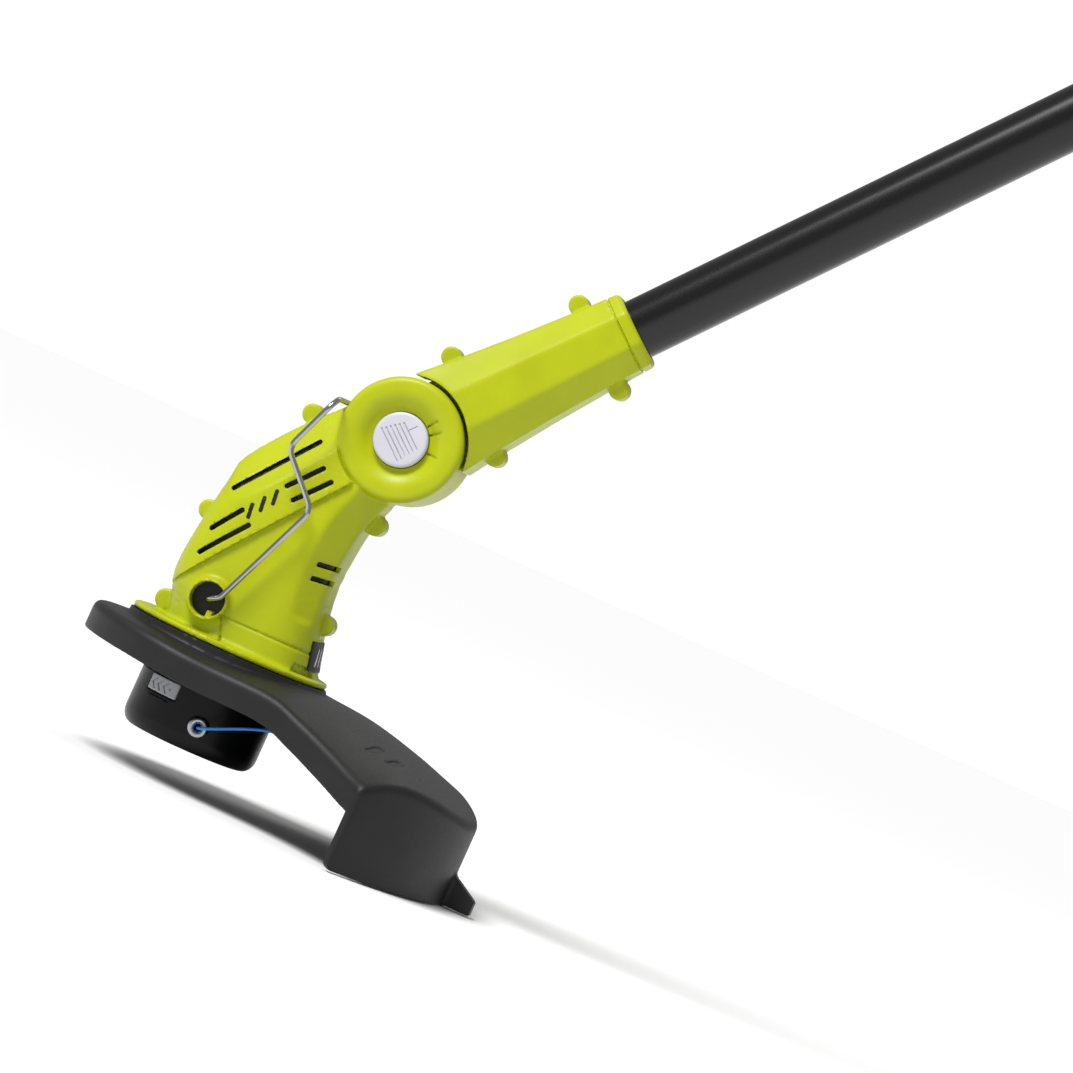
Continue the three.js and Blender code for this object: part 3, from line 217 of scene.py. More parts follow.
# %% [markdown]
# The real tool has few finishes: a lime casing, a charcoal guard, glossier black for cup and
# clamp, near-white for the button, painted steel for the tube and bright steel for the wire.
# %% The finishes of this tool
lime_plastic = finish("lime_plastic", linear(168, 178, 4), linear(178, 188, 8), 0.4, shine=0.3)
charcoal_plastic = finish("charcoal_plastic", linear(24, 24, 25), linear(31, 31, 32), 0.5,
                          grain=0.0007, depth=0.00009, shine=0.3)
black_plastic = finish("black_plastic", linear(3, 3, 4), linear(6, 6, 7), 0.34, shine=0.22)
grip_rubber = finish("grip_rubber", linear(24, 24, 24), linear(34, 33, 33), 0.78, grain=0.0009,
                     depth=0.00015)
tube_paint = finish("tube_paint", linear(2, 2, 3), linear(5, 5, 6), 0.24, grain=0.0004,
                    depth=0.000003, shine=0.5)
pale_plastic = finish("pale_plastic", linear(196, 194, 205), linear(206, 205, 214), 0.42)
latch_plastic = finish("latch_plastic", linear(148, 149, 152), linear(162, 163, 166), 0.45)
bright_wire = finish("bright_wire", linear(158, 158, 162), linear(184, 184, 188), 0.16,
                     grain=0.0003, depth=0.000008, metallic=1.0)
turned_steel = finish("turned_steel", linear(150, 152, 156), linear(186, 188, 192), 0.28,
                      grain=0.0002, depth=0.00001, metallic=1.0)
motor_copper = finish("motor_copper", linear(142, 78, 40), linear(184, 110, 62), 0.35,
                      grain=0.0006, depth=0.0001, metallic=1.0)
blue_nylon = finish("blue_nylon", linear(20, 118, 205), linear(34, 138, 225), 0.34, grain=0.0005)
soft_black = finish("soft_black", linear(10, 10, 10), linear(15, 15, 15), 0.5)
pale_print = finish("pale_print", linear(212, 214, 216), linear(226, 228, 229), 0.4)
print(len(bpy.data.materials), "materials")


# %% [markdown]
# Every piece gets the same last step. It takes one material, rides on the CAD body it moves with,
# and says which CAD nodes it stands for, so those are hidden.
# %% Finish a piece
def dress(piece, material, body, slot, *stands_for):
    piece.data.materials.clear()
    piece.data.materials.append(material)
    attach(piece, body)
    if stands_for:
        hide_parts(*stands_for)
    print(piece.name, len(piece.data.polygons), "faces on", body)
    return piece


def link(name, mesh):
    piece = bpy.data.objects.new(name, mesh)
    bpy.context.scene.collection.objects.link(piece)
    return piece


# %% [markdown]
# ## The trimmer line
# About 11 cm of nylon line leaves the eyelet and trails back under the guard, as far as the
# cutter lets it reach. It is a free cord, so it is drawn at its real length: a smooth curve through
# listed points carries a round section. A Bezier curve would do, but points that are
# known exactly also give the length exactly. Its far end is simply cut.
# %% Cutting line
LINE_DIAMETER = 1.65
LINE_ROUTE = [
    (7.42, -38.2, 14), (8.0, -40.6, 14.1), (9.8, -43.4, 14.7), (13.0, -45.8, 16.0),
    (18.0, -48.0, 18.2), (25.0, -49.8, 21.4), (33.0, -50.8, 24.9), (41.0, -51.0, 27.8),
    (48.0, -50.8, 29.4), (56.0, -50.0, 30.2), (65.0, -48.6, 29.8), (75.0, -46.4, 28.4),
    (85.0, -43.6, 26.2), (95.0, -40.2, 23.4), (104.0, -36.8, 20.2),
]


def smooth_route(points, steps):
    """A Catmull-Rom curve through the points, with the given steps in each span."""
    p = np.array(points, float)
    p = np.vstack([2 * p[0] - p[1], p, 2 * p[-1] - p[-2]])
    t = np.linspace(0, 1, steps, endpoint=False)[:, None]
    spans = [
        0.5 * (2 * b + (c - a) * t + (2 * a - 5 * b + 4 * c - d) * t**2
               + (3 * b - a - 3 * c + d) * t**3)
        for a, b, c, d in zip(p, p[1:], p[2:], p[3:])
    ]
    return np.vstack([*spans, p[-2:-1]])


def swept(name, route, radius, sides):
    """A round bar with flat ends along a route in mm, as a plain mesh."""
    route = np.array(route, float)
    way = np.gradient(route, axis=0)
    way /= np.linalg.norm(way, axis=1)[:, None]
    side = np.cross(way[0], (0.1, 0.2, 1.0))
    turn = np.linspace(0, 2 * np.pi, sides, endpoint=False)
    rings = []
    for centre, ahead in zip(route, way):
        side = side - side.dot(ahead) * ahead
        side /= np.linalg.norm(side)
        up = np.cross(ahead, side)
        rings.append(centre + radius * (np.cos(turn)[:, None] * side + np.sin(turn)[:, None] * up))
    count = len(route)
    faces = [
        (i * sides + j, i * sides + (j + 1) % sides, (i + 1) * sides + (j + 1) % sides,
         (i + 1) * sides + j)
        for i in range(count - 1) for j in range(sides)
    ]
    faces += [tuple(range(sides))[::-1], tuple((count - 1) * sides + j for j in range(sides))]
    mesh = bpy.data.meshes.new(name)
    mesh.from_pydata((np.vstack(rings) * MM).tolist(), [], faces)
    mesh.shade_smooth()
    mesh.set_sharp_from_angle(angle=math.radians(40))
    return link(name, mesh)


line_path = smooth_route(LINE_ROUTE, 6)
cutting_line = swept("trimmer_line", line_path, LINE_DIAMETER / 2, 14)
dress(cutting_line, blue_nylon, "spool", "line_blue", "cutting_line")

# %% [markdown]
# ## Moulded pieces as distance fields
# A moulded casing is one skin of plastic with fillets wherever two forms meet. Booleans on meshes
# give hard joins, so the casings are described by a field instead: a function that says how far
# a point is from the surface, less than zero inside. Fields join, cut and meet each other softly,
# with the fillet's radius as a number. The helpers below are the whole vocabulary.
# %% Field vocabulary (mm)
def rod(p, axis, a, b, radius, low, high, round_by=0.0):
    """A cylinder along an axis, at (a, b) in the other two coordinates."""
    u, v, w = {"X": (p[1], p[2], p[0]), "Y": (p[0], p[2], p[1]), "Z": (p[0], p[1], p[2])}[axis]
    side = np.hypot(u - a, v - b) - radius
    end = np.abs(w - (low + high) / 2) - (high - low) / 2
    return meet(side, end, round_by)


def block(p, x, y, z, round_by=0.0):
    """A box between pairs of limits, with rounded edges."""
    sides = [np.abs(c - (lo + hi) / 2) - (hi - lo) / 2 for c, (lo, hi) in zip(p, (x, y, z))]
    return meet(meet(sides[0], sides[1], round_by), sides[2], round_by)


def meet(a, b, r=0.0):
    """What is inside both, with edges rounded by about r."""
    if not r:
        return np.maximum(a, b)
    h = np.clip(0.5 + 0.5 * (a - b) / (2 * r), 0, 1)
    return b * (1 - h) + a * h + 2 * r * h * (1 - h)


def join(a, b, r=0.0):
    return -meet(-a, -b, r)


def cut(a, b, r=0.0):
    return meet(a, -b, r)


def slit(u, v, start, end, radius):
    """Distance from a straight slot with round ends, in the plane of u and v."""
    du, dv = end[0] - start[0], end[1] - start[1]
    t = np.clip(((u - start[0]) * du + (v - start[1]) * dv) / (du * du + dv * dv), 0, 1)
    return np.hypot(u - start[0] - t * du, v - start[1] - t * dv) - radius


def above(u, v, start, end):
    """Signed distance from the line start to end, more than zero on its left."""
    du, dv = end[0] - start[0], end[1] - start[1]
    return ((v - start[1]) * du - (u - start[0]) * dv) / math.hypot(du, dv)


def oval(u, v, half_u, half_v, power):
    """A superellipse: 2 is an ellipse, and larger powers are squarer."""
    a, b = np.abs(u) / half_u, np.abs(v) / half_v
    q = np.maximum((a**power + b**power) ** (1 / power), 1e-3)
    slope = q ** (1 - power) * np.hypot(a ** (power - 1) / half_u, b ** (power - 1) / half_v)
    return (q - 1) / np.maximum(slope, 1e-3)


def facing(p, turn):
    """The point in a frame turned about Z, so a form at any bearing is drawn along one axis."""
    x, y, z = p
    return (x * math.cos(turn) + y * math.sin(turn), y * math.cos(turn) - x * math.sin(turn), z)


def step(value, width):
    """0 below zero and 1 above it, with a soft ramp."""
    t = np.clip(value / width + 0.5, 0, 1)
    return t * t * (3 - 2 * t)


# %% [markdown]
# To turn a field into faces, space is cut into small cubes. Wherever an edge of a cube crosses
# the surface, its four cubes are joined by a face, and each cube's corner is put where the
# tangent planes of its crossings meet. That last step, dual contouring, keeps creases crisp,
# which a voxel remesh or marching cubes would round off.
# %% Where the surface crosses the grid
def slopes(field, p, eps=0.05):
    """The surface's direction at each point, from the field a little further along each axis."""
    here = field(tuple(p.T))
    moved = [field(tuple((p + np.eye(3)[k] * eps).T)) - here for k in range(3)]
    g = np.stack(moved, 1) / eps
    return g / np.maximum(np.linalg.norm(g, axis=1), 1e-6)[:, None]


def crossings(values, axis):
    """Grid edges along an axis whose ends lie on either side of the surface."""
    a = np.moveaxis(values, axis, 0)
    lower, upper = a[:-1], a[1:]
    k = np.moveaxis((lower < 0) != (upper < 0), 0, axis)
    at = np.argwhere(k)
    end = at.copy()
    end[:, axis] += 1
    v0, v1 = values[tuple(at.T)], values[tuple(end.T)]
    point = at.astype(float)
    point[:, axis] += v0 / (v0 - v1)
    return at, point, v0 < 0


# %% [markdown]
# A cube's corner is the point that fits all tangent planes in it best. It is found for all cubes
# at once as a small least-squares sum. A weak pull to the middle of the crossings keeps the
# corner in place on flat ground, where the planes alone would let it slide.
# %% Dual contouring
MIDDLE_PULL, CORNER_REACH = 0.08, 0.6


def contour(name, field, low, high, pitch, matrix=TO_ROW):
    """The surface of a field between two corners in mm, as a mesh object."""
    low, high = np.array(low, float) - 2 * pitch, np.array(high, float) + 2 * pitch
    axes = [np.arange(a, b, pitch) for a, b in zip(low, high)]
    shape = tuple(len(a) for a in axes)
    grid = np.meshgrid(*axes, indexing="ij", sparse=True)
    values = np.broadcast_to(field(tuple(grid)), shape)
    cell_ids, points, faces = [], [], []
    for axis in range(3):
        at, point, inside_first = crossings(values, axis)
        u, v = np.eye(3, dtype=int)[(axis + 1) % 3], np.eye(3, dtype=int)[(axis + 2) % 3]
        cells = [at, at - u, at - u - v, at - v]
        ids = np.stack([np.ravel_multi_index(tuple(c.T), shape) for c in cells], 1)
        cell_ids.append(ids.T.ravel())
        points.append(np.tile(point, (4, 1)))
        faces.append(np.where(inside_first[:, None], ids, ids[:, ::-1]))
    cell_ids, points, faces = (np.concatenate(a) for a in (cell_ids, points, faces))
    used, owner = np.unique(cell_ids, return_inverse=True)
    world = low + points * pitch
    normal = slopes(field, world)
    count = np.bincount(owner).astype(float)

    def total(weights):
        return np.bincount(owner, weights, len(used))

    mean = np.stack([total(world[:, k]) for k in range(3)], 1) / count[:, None]
    offset = (normal * (world - mean[owner])).sum(1)
    a = np.stack([[total(normal[:, i] * normal[:, j]) for j in range(3)] for i in range(3)])
    b = np.stack([total(normal[:, k] * offset) for k in range(3)], 1)
    a = np.moveaxis(a, 2, 0) + np.eye(3) * MIDDLE_PULL
    shift = np.linalg.solve(a, b[:, :, None])[:, :, 0]
    vertices = mean + np.clip(shift, -CORNER_REACH * pitch, CORNER_REACH * pitch)
    return link(name, mesh_of(name, vertices, np.searchsorted(used, faces), matrix))


def mesh_of(name, vertices, quads, matrix, crease=38):
    """A mesh of quads from arrays in mm, smooth except at edges sharper than the crease."""
    mesh = bpy.data.meshes.new(name)
    mesh.vertices.add(len(vertices))
    mesh.vertices.foreach_set("co", (vertices * MM).astype(np.float32).ravel())
    mesh.loops.add(quads.size)
    mesh.loops.foreach_set("vertex_index", quads.astype(np.int32).ravel())
    mesh.polygons.add(len(quads))
    mesh.polygons.foreach_set("loop_start", np.arange(0, quads.size, 4, dtype=np.int32))
    mesh.update(calc_edges=True)
    mesh.validate()
    mesh.transform(matrix)
    mesh.shade_smooth()
    mesh.set_sharp_from_angle(angle=math.radians(crease))
    return mesh


def moulded(name, field, node_name, pitch, finish_of, frame_of=TO_ROW, spare=(1, 1)):
    """A field's surface in the space of the CAD node that it stands for, dressed."""
    low, high = node_box(node_name, frame_of)
    piece = contour(name, field, low - spare[0], high + spare[1], pitch, frame_of)
    return dress(piece, *finish_of, node_name)


def outwards(side, near, far):
    """Limits across the tool from near to far on the given side, lowest first."""
    return (near, far) if side > 0 else (-far, -near)


# %% [markdown]
# ## Head casing
# The casing rises from the round flange to the pivot, and its cross-sections tilt as it goes: each
# row below is one section, given by its front and rear point in the side view, its half width
# and how square it is. The side carries a raised plateau for the vents, a facet above it that
# falls away to the front, and a facet along each rear corner.
# %% Casing sections
CASING = smooth_route([
    (-36, 57, 49.6, 57, 42, 2.6), (-37.6, 69, 46, 68, 41.6, 3.0), (-41.5, 84, 41.6, 86, 41, 3.4),
    (-39.5, 108, 38.6, 108, 40.3, 3.6), (-34.5, 138, 40.2, 132, 38.4, 3.8),
    (-31.5, 152, 43, 146, 36, 3.6), (-12.4, 178, 48.5, 164, 32, 3.2), (9, 200.6, 43, 186, 29, 3.2),
], 3)
PLATEAU_EDGE = [(-37.7, 78.2), (-6.5, 118.5), (27.8, 160.1)]
FACET_EDGE = [(-29.1, 117.9), (13.1, 173.6)]
LEDGE_DEPTH, FACET_FALL = 2.8, 0.75
REAR_FACET = {"at_foot": 8, "more_above": 11.5, "from_height": 82, "over": 14}
FLANGE_FOOT, CASING_TOP = 57, 214
SPLIT = 0.15
WALL = 2.6


def casing(p, inset=0.0):
    """The bare body of the casing, or the same a little further in. Halving finds each height."""
    x, y, z = p
    rows = np.linspace(0, 1, len(CASING))
    low, high = np.zeros(np.broadcast(x, z).shape), np.ones(np.broadcast(x, z).shape)
    for _ in range(11):
        t = (low + high) / 2
        fx, fz, rx, rz = (np.interp(t, rows, CASING[:, k]) for k in range(4))
        over = (rx - fx) * (z - fz) > (rz - fz) * (x - fx)
        low, high = np.where(over, t, low), np.where(over, high, t)
    width, power = (np.interp(t, rows, CASING[:, k]) for k in (4, 5))
    half = np.hypot(rx - fx, rz - fz) / 2
    s = ((x - (fx + rx) / 2) * (rx - fx) + (z - (fz + rz) / 2) * (rz - fz)) / (2 * half)
    ledge = LEDGE_DEPTH * step(-above(x, z, PLATEAU_EDGE[0], PLATEAU_EDGE[1]), 0.7)
    fall = np.maximum(above(x, z, *FACET_EDGE), 0)
    face = width - ledge - FACET_FALL * fall
    body = meet(oval(s, y, half - inset, width - ledge - inset, power),
                np.abs(y) - face + inset, 0.5)
    deep = REAR_FACET["at_foot"] + REAR_FACET["more_above"] * step(z - REAR_FACET["from_height"],
                                                                   REAR_FACET["over"])
    rear_corner = (s - half + np.abs(y) - width + deep) / math.sqrt(2) + inset
    body = meet(body, rear_corner, 0.5)
    return meet(meet(body, FLANGE_FOOT - z), z - CASING_TOP)


# %% [markdown]
# The rest of the casing is built on that body: the flange, the two round ears that hold the
# pivot, the cups where the wire guide turns, and the screw bosses that stand out at the seam.
# Then the slots, the dish round the button and the hollow are cut away. The order matters, because
# each rounded join or cut also rounds what is already there.
# %% The head's own sizes
EAR_RADIUS, TONGUE_HALF = 33, 11.7
BOSS_RADIUS, BOSS_HALF = 5.4, 9
WIRE_BOSS = (-14.8, 77)
HEAD_BOSSES = [(-9.5, 186.4), (-38.7, 118.5), (-40.4, 66.6), (44.8, 146.6), (41.5, 88)]
SIDE_VENTS = [
    ((-27.7, 134.8), (2.6, 174.7)), ((-2.2, 147.1), (11, 163)), ((3.9, 141.8), (17.6, 158)),
    ((-29.2, 111.2), (-18.1, 126.2)), ((-29.7, 97.4), (-11.7, 120.4)),
]
STOP_DEGREES = [0, -17, -53.5]
PX, PZ = pivot.x, pivot.z
FLANGE_RADIUS, FLANGE_TOP, SPIGOT_RADIUS = 55, 60, 34
CUP_RADIUS, CUP_FLOOR, CUP_FACE, CUP_BOSS_RADIUS = 9.2, 35, 44.4, 11
VENT_HALF, LOUVRE_HEIGHTS = 1.35, (118, 110)
DISH_START, DISH_DEPTH = 16.2, 5
WIRE_HOLE, BOLT_HOLE, PILOT_RADIUS, COUNTERBORE_RADIUS, FAR = 2.1, 10.1, 2.05, 3.5, 60


# %% Holes and the head's outside
def screw_holes(p, places, side):
    """Counterbored holes for screws that enter from the right; only a blind pilot on the left."""
    x, y, z = p
    hole = np.full(np.broadcast(x, y, z).shape, 99.0)
    for a, b in places:
        hole = join(hole, rod(p, "Y", a, b, PILOT_RADIUS, -7, 10))
        if side > 0:
            hole = join(hole, rod(p, "Y", a, b, COUNTERBORE_RADIUS, 6, FAR))
    return hole


def head_outside(p):
    _, y, _ = p
    body = casing(p)
    for a, b in HEAD_BOSSES:
        body = join(body, rod(p, "Y", a, b, BOSS_RADIUS, -BOSS_HALF, BOSS_HALF, 0.7), 0.9)
    body = join(body, rod(p, "Z", 0, 0, FLANGE_RADIUS, FLANGE_FOOT, FLANGE_TOP, 0.8), 1.6)
    body = join(body, rod(p, "Y", *WIRE_BOSS, CUP_BOSS_RADIUS, -CUP_FACE, CUP_FACE, 0.8), 1.8)
    clear = rod(p, "Y", PX, PZ, EAR_RADIUS + 0.2, -FAR, FAR)
    body = cut(body, cut(clear, np.abs(y) - EAR_FACE + 3))
    ears = rod(p, "Y", PX, PZ, EAR_RADIUS, -EAR_FACE, EAR_FACE, 2.2)
    return join(body, ears, 0.8)


def head_hollow(p, side):
    hollow = cut(casing(p, WALL), rod(p, "Y", PX, PZ, EAR_RADIUS + 1, -FAR, FAR))
    hollow = join(hollow, rod(p, "Z", 0, 0, SPIGOT_RADIUS, 50, 62))
    hollow = cut(hollow, rod(p, "Y", *WIRE_BOSS, CUP_BOSS_RADIUS, *outwards(side, 30, FAR)))
    for a, b in HEAD_BOSSES:
        hollow = cut(hollow, rod(p, "Y", a, b, BOSS_RADIUS, -BOSS_HALF, BOSS_HALF))
    return hollow


# %% Vents and cups
def with_vents(body, p):
    x, y, z = p
    for start, end in SIDE_VENTS:
        body = cut(body, slit(x, z, start, end, VENT_HALF), 0.35)
    for height in LOUVRE_HEIGHTS:
        louvre = meet(np.abs(z - height + 1.2 - 0.12 * (x - 30)) - 1.4, np.abs(x - 39) - 11, 0.5)
        body = cut(body, meet(louvre, 13 - np.abs(y), 0.5), 0.3)
    return body


def with_cup(body, p, side):
    cup = rod(p, "Y", *WIRE_BOSS, CUP_RADIUS, *outwards(side, CUP_FLOOR, FAR))
    key = block(p, (-12.6, -9.4), (-43, 43), (66, 72), 0.4)
    body = cut(body, cut(cup, key), 0.5)
    return cut(body, rod(p, "Y", *WIRE_BOSS, WIRE_HOLE, *outwards(side, CUP_FLOOR - 2, FAR)))


# %% [markdown]
# Only the left ear shows a button. A shallow dish leads down to it, and three short marks in the
# dish are the stops of the head. A line pressed into the cheek runs from the flange to the cup.
# %% Button side
def with_button_side(body, p):
    x, y, z = p
    radius = np.hypot(x - PX, z - PZ)
    widening = np.clip((-y - EAR_FACE + DISH_DEPTH) / DISH_DEPTH, 0, 2) * 6.2
    dish = (radius - DISH_START - widening) * 0.64
    body = cut(body, meet(dish, y + EAR_FACE - DISH_DEPTH, 0.8), 1.4)
    body = cut(body, rod(p, "Y", PX, PZ, 14.9, -FAR, -16))
    for turn in STOP_DEGREES:
        angle = SHAFT_ANGLE + math.radians(turn)
        ends = [(PX + r * math.cos(angle), PZ + r * math.sin(angle)) for r in (16, 21.5)]
        low_face = y + 26 + (radius - DISH_START) * 0.806 - 1.0
        body = cut(body, meet(slit(x, z, *ends, 0.6), low_face), 0.15)
    seam = meet(above(x, z, (0, 58), (-4.4, 70)), z - 72)
    return cut(body, meet(meet(np.abs(seam) - 0.5, -y - 50), -casing(p, 0.8)), 0.4)


# %% One head shell
def head(p, side):
    _, y, _ = p
    body = cut(head_outside(p), head_hollow(p, side))
    body = with_cup(with_vents(body, p), p, side)
    body = cut(body, rod(p, "Y", PX, PZ, 30, -TONGUE_HALF - 0.3, TONGUE_HALF + 0.3))
    if side < 0:
        body = with_button_side(body, p)
    else:
        body = cut(body, rod(p, "Y", PX, PZ, 14.5, 25.5, FAR), 0.5)
    body = cut(body, rod(p, "Y", PX, PZ, BOLT_HOLE, -20, 26))
    recess = meet(block(p, (38, 60), (-36, 36), (60.4, 65), 0.4), 12 - np.abs(y))
    body = cut(body, meet(recess, -casing(p, 1.7)), 0.3)
    body = cut(body, screw_holes(p, HEAD_BOSSES, side))
    return meet(body, side * -y + SPLIT)


# %% Head shells
SIDES = ((-1, "left"), (1, "right"))
for side, hand in SIDES:
    moulded(f"head_casing_{hand}", lambda p: head(p, side), f"head_shell_{hand}", 0.95,
            (lime_plastic, "head", "lime_plastic"), spare=(2, 2))

# %% [markdown]
# Behind the slots lies a thin black sheet of painted shade, so the slots look dark from outside. It
# is the casing's own field again, once just inside the wall and once a little further in. A black
# disc of painted shade lies at the bottom of each cup, round the end of the wire guide, so the cup
# looks deep.
# %% Painted shade behind the slots and in the cups
def slot_shade_field(p):
    x, y, z = p
    skin = cut(casing(p, WALL + 0.1), casing(p, WALL + 1.1))
    skin = meet(skin, np.abs(z - 134) - 43)
    skin = cut(skin, rod(p, "Y", PX, PZ, EAR_RADIUS + 2, -FAR, FAR))
    for a, b in HEAD_BOSSES:
        skin = cut(skin, rod(p, "Y", a, b, BOSS_RADIUS + 0.4, -BOSS_HALF - 0.4, BOSS_HALF + 0.4))
    skin = cut(skin, rod(p, "Y", *WIRE_BOSS, CUP_BOSS_RADIUS + 0.5, -FAR, FAR))
    return meet(skin, 3 - np.abs(y))


# A black sheet of painted shade behind the vent slots, standing for the dark inside of the casing.
slot_shade_piece = contour("painted_slot_shade", slot_shade_field, (-46, -44, 88), (50, 44, 182), 0.9)
dress(slot_shade_piece, soft_black, "head", "black_plastic")


def cup_shade_field(p):
    disc = meet(np.hypot(p[0] - WIRE_BOSS[0], p[2] - WIRE_BOSS[1]) - CUP_RADIUS + 0.1,
                np.abs(np.abs(p[1]) - 35.6) - 0.4, 0.1)
    key = block(p, (-12.8, -9.2), (-43, 43), (66, 72.2), 0.2)
    return cut(cut(disc, key), rod(p, "Y", *WIRE_BOSS, WIRE_HOLE, -FAR, FAR))


# Black discs of painted shade at the bottom of the wire-guide cups.
cup_shade_piece = contour("painted_cup_shade", cup_shade_field, (-25, -37, 67), (-5, 37, 87), 0.5)
dress(cup_shade_piece, soft_black, "head", "black_plastic")

# %% [markdown]
# ## Shaft collar
# The collar is one long tapering ring with eight sides, drawn in the shaft's frame. Its side face
# lies between two creases; below the lower one the face leans in sharply and reads darker. Each
# row of the table is one section: place along the shaft, half width, half height and where the
# crease runs. It could be lofted from those sections, but the field rounds the bosses in for free.
# %% Collar sections
COLLAR = np.array([
    (12, 30, 29.6, 10.5), (40, 28, 26.5, 10), (75, 25.5, 23.6, 9.6), (110, 23.6, 21.4, 9),
    (134.5, 22.2, 20.2, 8.6),
])
COLLAR_BOSSES = [(41, 29.4), (112.6, 24.4), (39, -27.6), (112.3, -24.4)]
TUBE_RADIUS = 16
CORNER_LEAN = 9.5


def collar_ring(p, inset=0.0):
    x, y, z = p
    half_y, half_z, flat = (np.interp(x, COLLAR[:, 0], COLLAR[:, k]) - inset for k in (1, 2, 3))
    rise = half_z - flat
    slanted = ((np.abs(y) - half_y) * rise + (np.abs(z) - flat) * CORNER_LEAN) / np.hypot(
        rise, CORNER_LEAN)
    sides = meet(np.abs(y) - half_y, np.abs(z) - half_z, 1.0)
    return meet(sides, slanted, 0.5)


# %% Collar shells
def collar(p, side):
    x, y, z = p
    body = meet(collar_ring(p), np.abs(x - 67) - 67.5, 1.6)
    body = cut(body, meet(-collar_ring(p) - 1.0, np.abs(x - 127.5) - 0.5), 0.3)
    for a, b in COLLAR_BOSSES:
        body = join(body, rod(p, "Y", a, b, BOSS_RADIUS, -BOSS_HALF, BOSS_HALF, 0.7), 1.0)
    body = cut(body, rod(p, "Y", 0, 0, EAR_RADIUS + 1.9, -FAR, FAR), 0.5)
    hollow = meet(collar_ring(p, WALL), np.abs(x - 84) - 40)
    hollow = cut(hollow, np.abs(x - 86.5) - 2.5)
    for a, b in COLLAR_BOSSES:
        hollow = cut(hollow, rod(p, "Y", a, b, BOSS_RADIUS, -BOSS_HALF, BOSS_HALF))
    body = cut(body, hollow)
    tongue = join(rod(p, "Y", 0, 0, 29.5, -TONGUE_HALF, TONGUE_HALF, 0.5),
                  block(p, (0, 46), (-TONGUE_HALF, TONGUE_HALF), (-22, 22)), 1.0)
    body = join(body, tongue)
    body = cut(body, rod(p, "X", 0, 0, TUBE_RADIUS + 0.3, 51.7, 150), 0.5)
    body = cut(body, rod(p, "Y", 0, 0, BOLT_HOLE, -20, 20))
    body = cut(body, screw_holes(p, COLLAR_BOSSES, side))
    return meet(body, side * -y + SPLIT)


for side, hand in SIDES:
    moulded(f"collar_casing_{hand}", lambda p: collar(p, side), f"collar_shell_{hand}", 0.95,
            (lime_plastic, "lower_shaft", "lime_plastic"), TO_SHAFT, (2, 2))

# %% [markdown]
# ## Guard
# The guard is a thin crowned roof. Seen from above it is a half circle in front that flares to
# a wide arc at the back; its height falls along the same way, and only the rear arc carries a
# deep skirt. Heights and widths are read from one table as functions of x, because its shape
# follows that rule everywhere; a sculpted mesh would have to find the rule by eye.
# %% Guard's outline and crown
GUARD_ROWS = smooth_route([
    (-76, 52, 52), (-40, 54, 50), (0, 55, 47.5), (40, 55, 47), (60.4, 54, 41.5),
    (82.4, 52, 34), (106.4, 46.5, 26), (125.4, 39.8, 26), (161.5, 24, 24),
], 6)
FRONT_RADIUS, SKIRT_RADIUS, SKIRT_HALF = 74, 157.5, math.radians(47.5)
SKIRT_BOTTOM, RIM_DEPTH, GUARD_WALL, ROOF_SLOPE = -19, 15, 3.0, 0.93
SKIRT_CORNER, FIN_TIP, FIN_HALF, FIN_FALL = 4.5, 173, 5, 0.58
PAD_RADIUS = 56


def guard_edge(p):
    """Distance from the guard's outline, seen from above, and its half width at each x."""
    x, y, _ = p
    corner_x, corner_y = SKIRT_RADIUS * math.cos(SKIRT_HALF), SKIRT_RADIUS * math.sin(SKIRT_HALF)
    share = np.clip(x / corner_x, 0, 1.4)
    half = FRONT_RADIUS + (corner_y - FRONT_RADIUS) * share**2
    slope = 2 * (corner_y - FRONT_RADIUS) * share / corner_x
    flank = (np.abs(y) - half) / np.sqrt(1 + slope**2)
    front = np.hypot(np.minimum(x, 0), y) - FRONT_RADIUS
    side = np.where(x < 0, front, flank)
    return meet(side, np.hypot(x, y) - SKIRT_RADIUS, 1.5), half


def guard_top(x, y, half):
    """Height of the crowned roof, and of its edge."""
    centre, edge = (np.interp(x, GUARD_ROWS[:, 0], GUARD_ROWS[:, k]) for k in (1, 2))
    reach = np.where(x < 0, np.sqrt(np.maximum(FRONT_RADIUS**2 - np.minimum(x, 0) ** 2, 200)), half)
    share = 1 - np.clip(np.abs(y) / reach, 0, 1) ** 2.6
    return edge + (centre - edge) * share, edge


# %% Guard shell
def guard_shell(p, outline, top, edge):
    """Roof, rim and skirt. The wall hangs as low as the rim or, round the rear arc, the skirt."""
    x, y, z = p
    outside = meet(outline, (z - top) * ROOF_SLOPE, 2.2)
    inside = meet(outline + GUARD_WALL, (z - top) * ROOF_SLOPE + GUARD_WALL, 1.0)
    radius = np.hypot(x, y)
    past_skirt = (np.arctan2(np.abs(y), x) - SKIRT_HALF) * radius
    in_skirt = meet(past_skirt, SKIRT_RADIUS - GUARD_WALL - 1.5 - radius)
    skirt_low, rim_low = SKIRT_BOTTOM - z, edge - RIM_DEPTH - z
    lowest = np.minimum(rim_low, np.maximum(in_skirt, skirt_low))
    shell = meet(cut(outside, inside), lowest, 0.5)
    round_off = np.hypot(past_skirt + SKIRT_CORNER, skirt_low + SKIRT_CORNER) - SKIRT_CORNER
    at_corner = (past_skirt > -SKIRT_CORNER) & (skirt_low > -SKIRT_CORNER) & (radius > 148)
    return meet(shell, np.where(at_corner, round_off, -9))


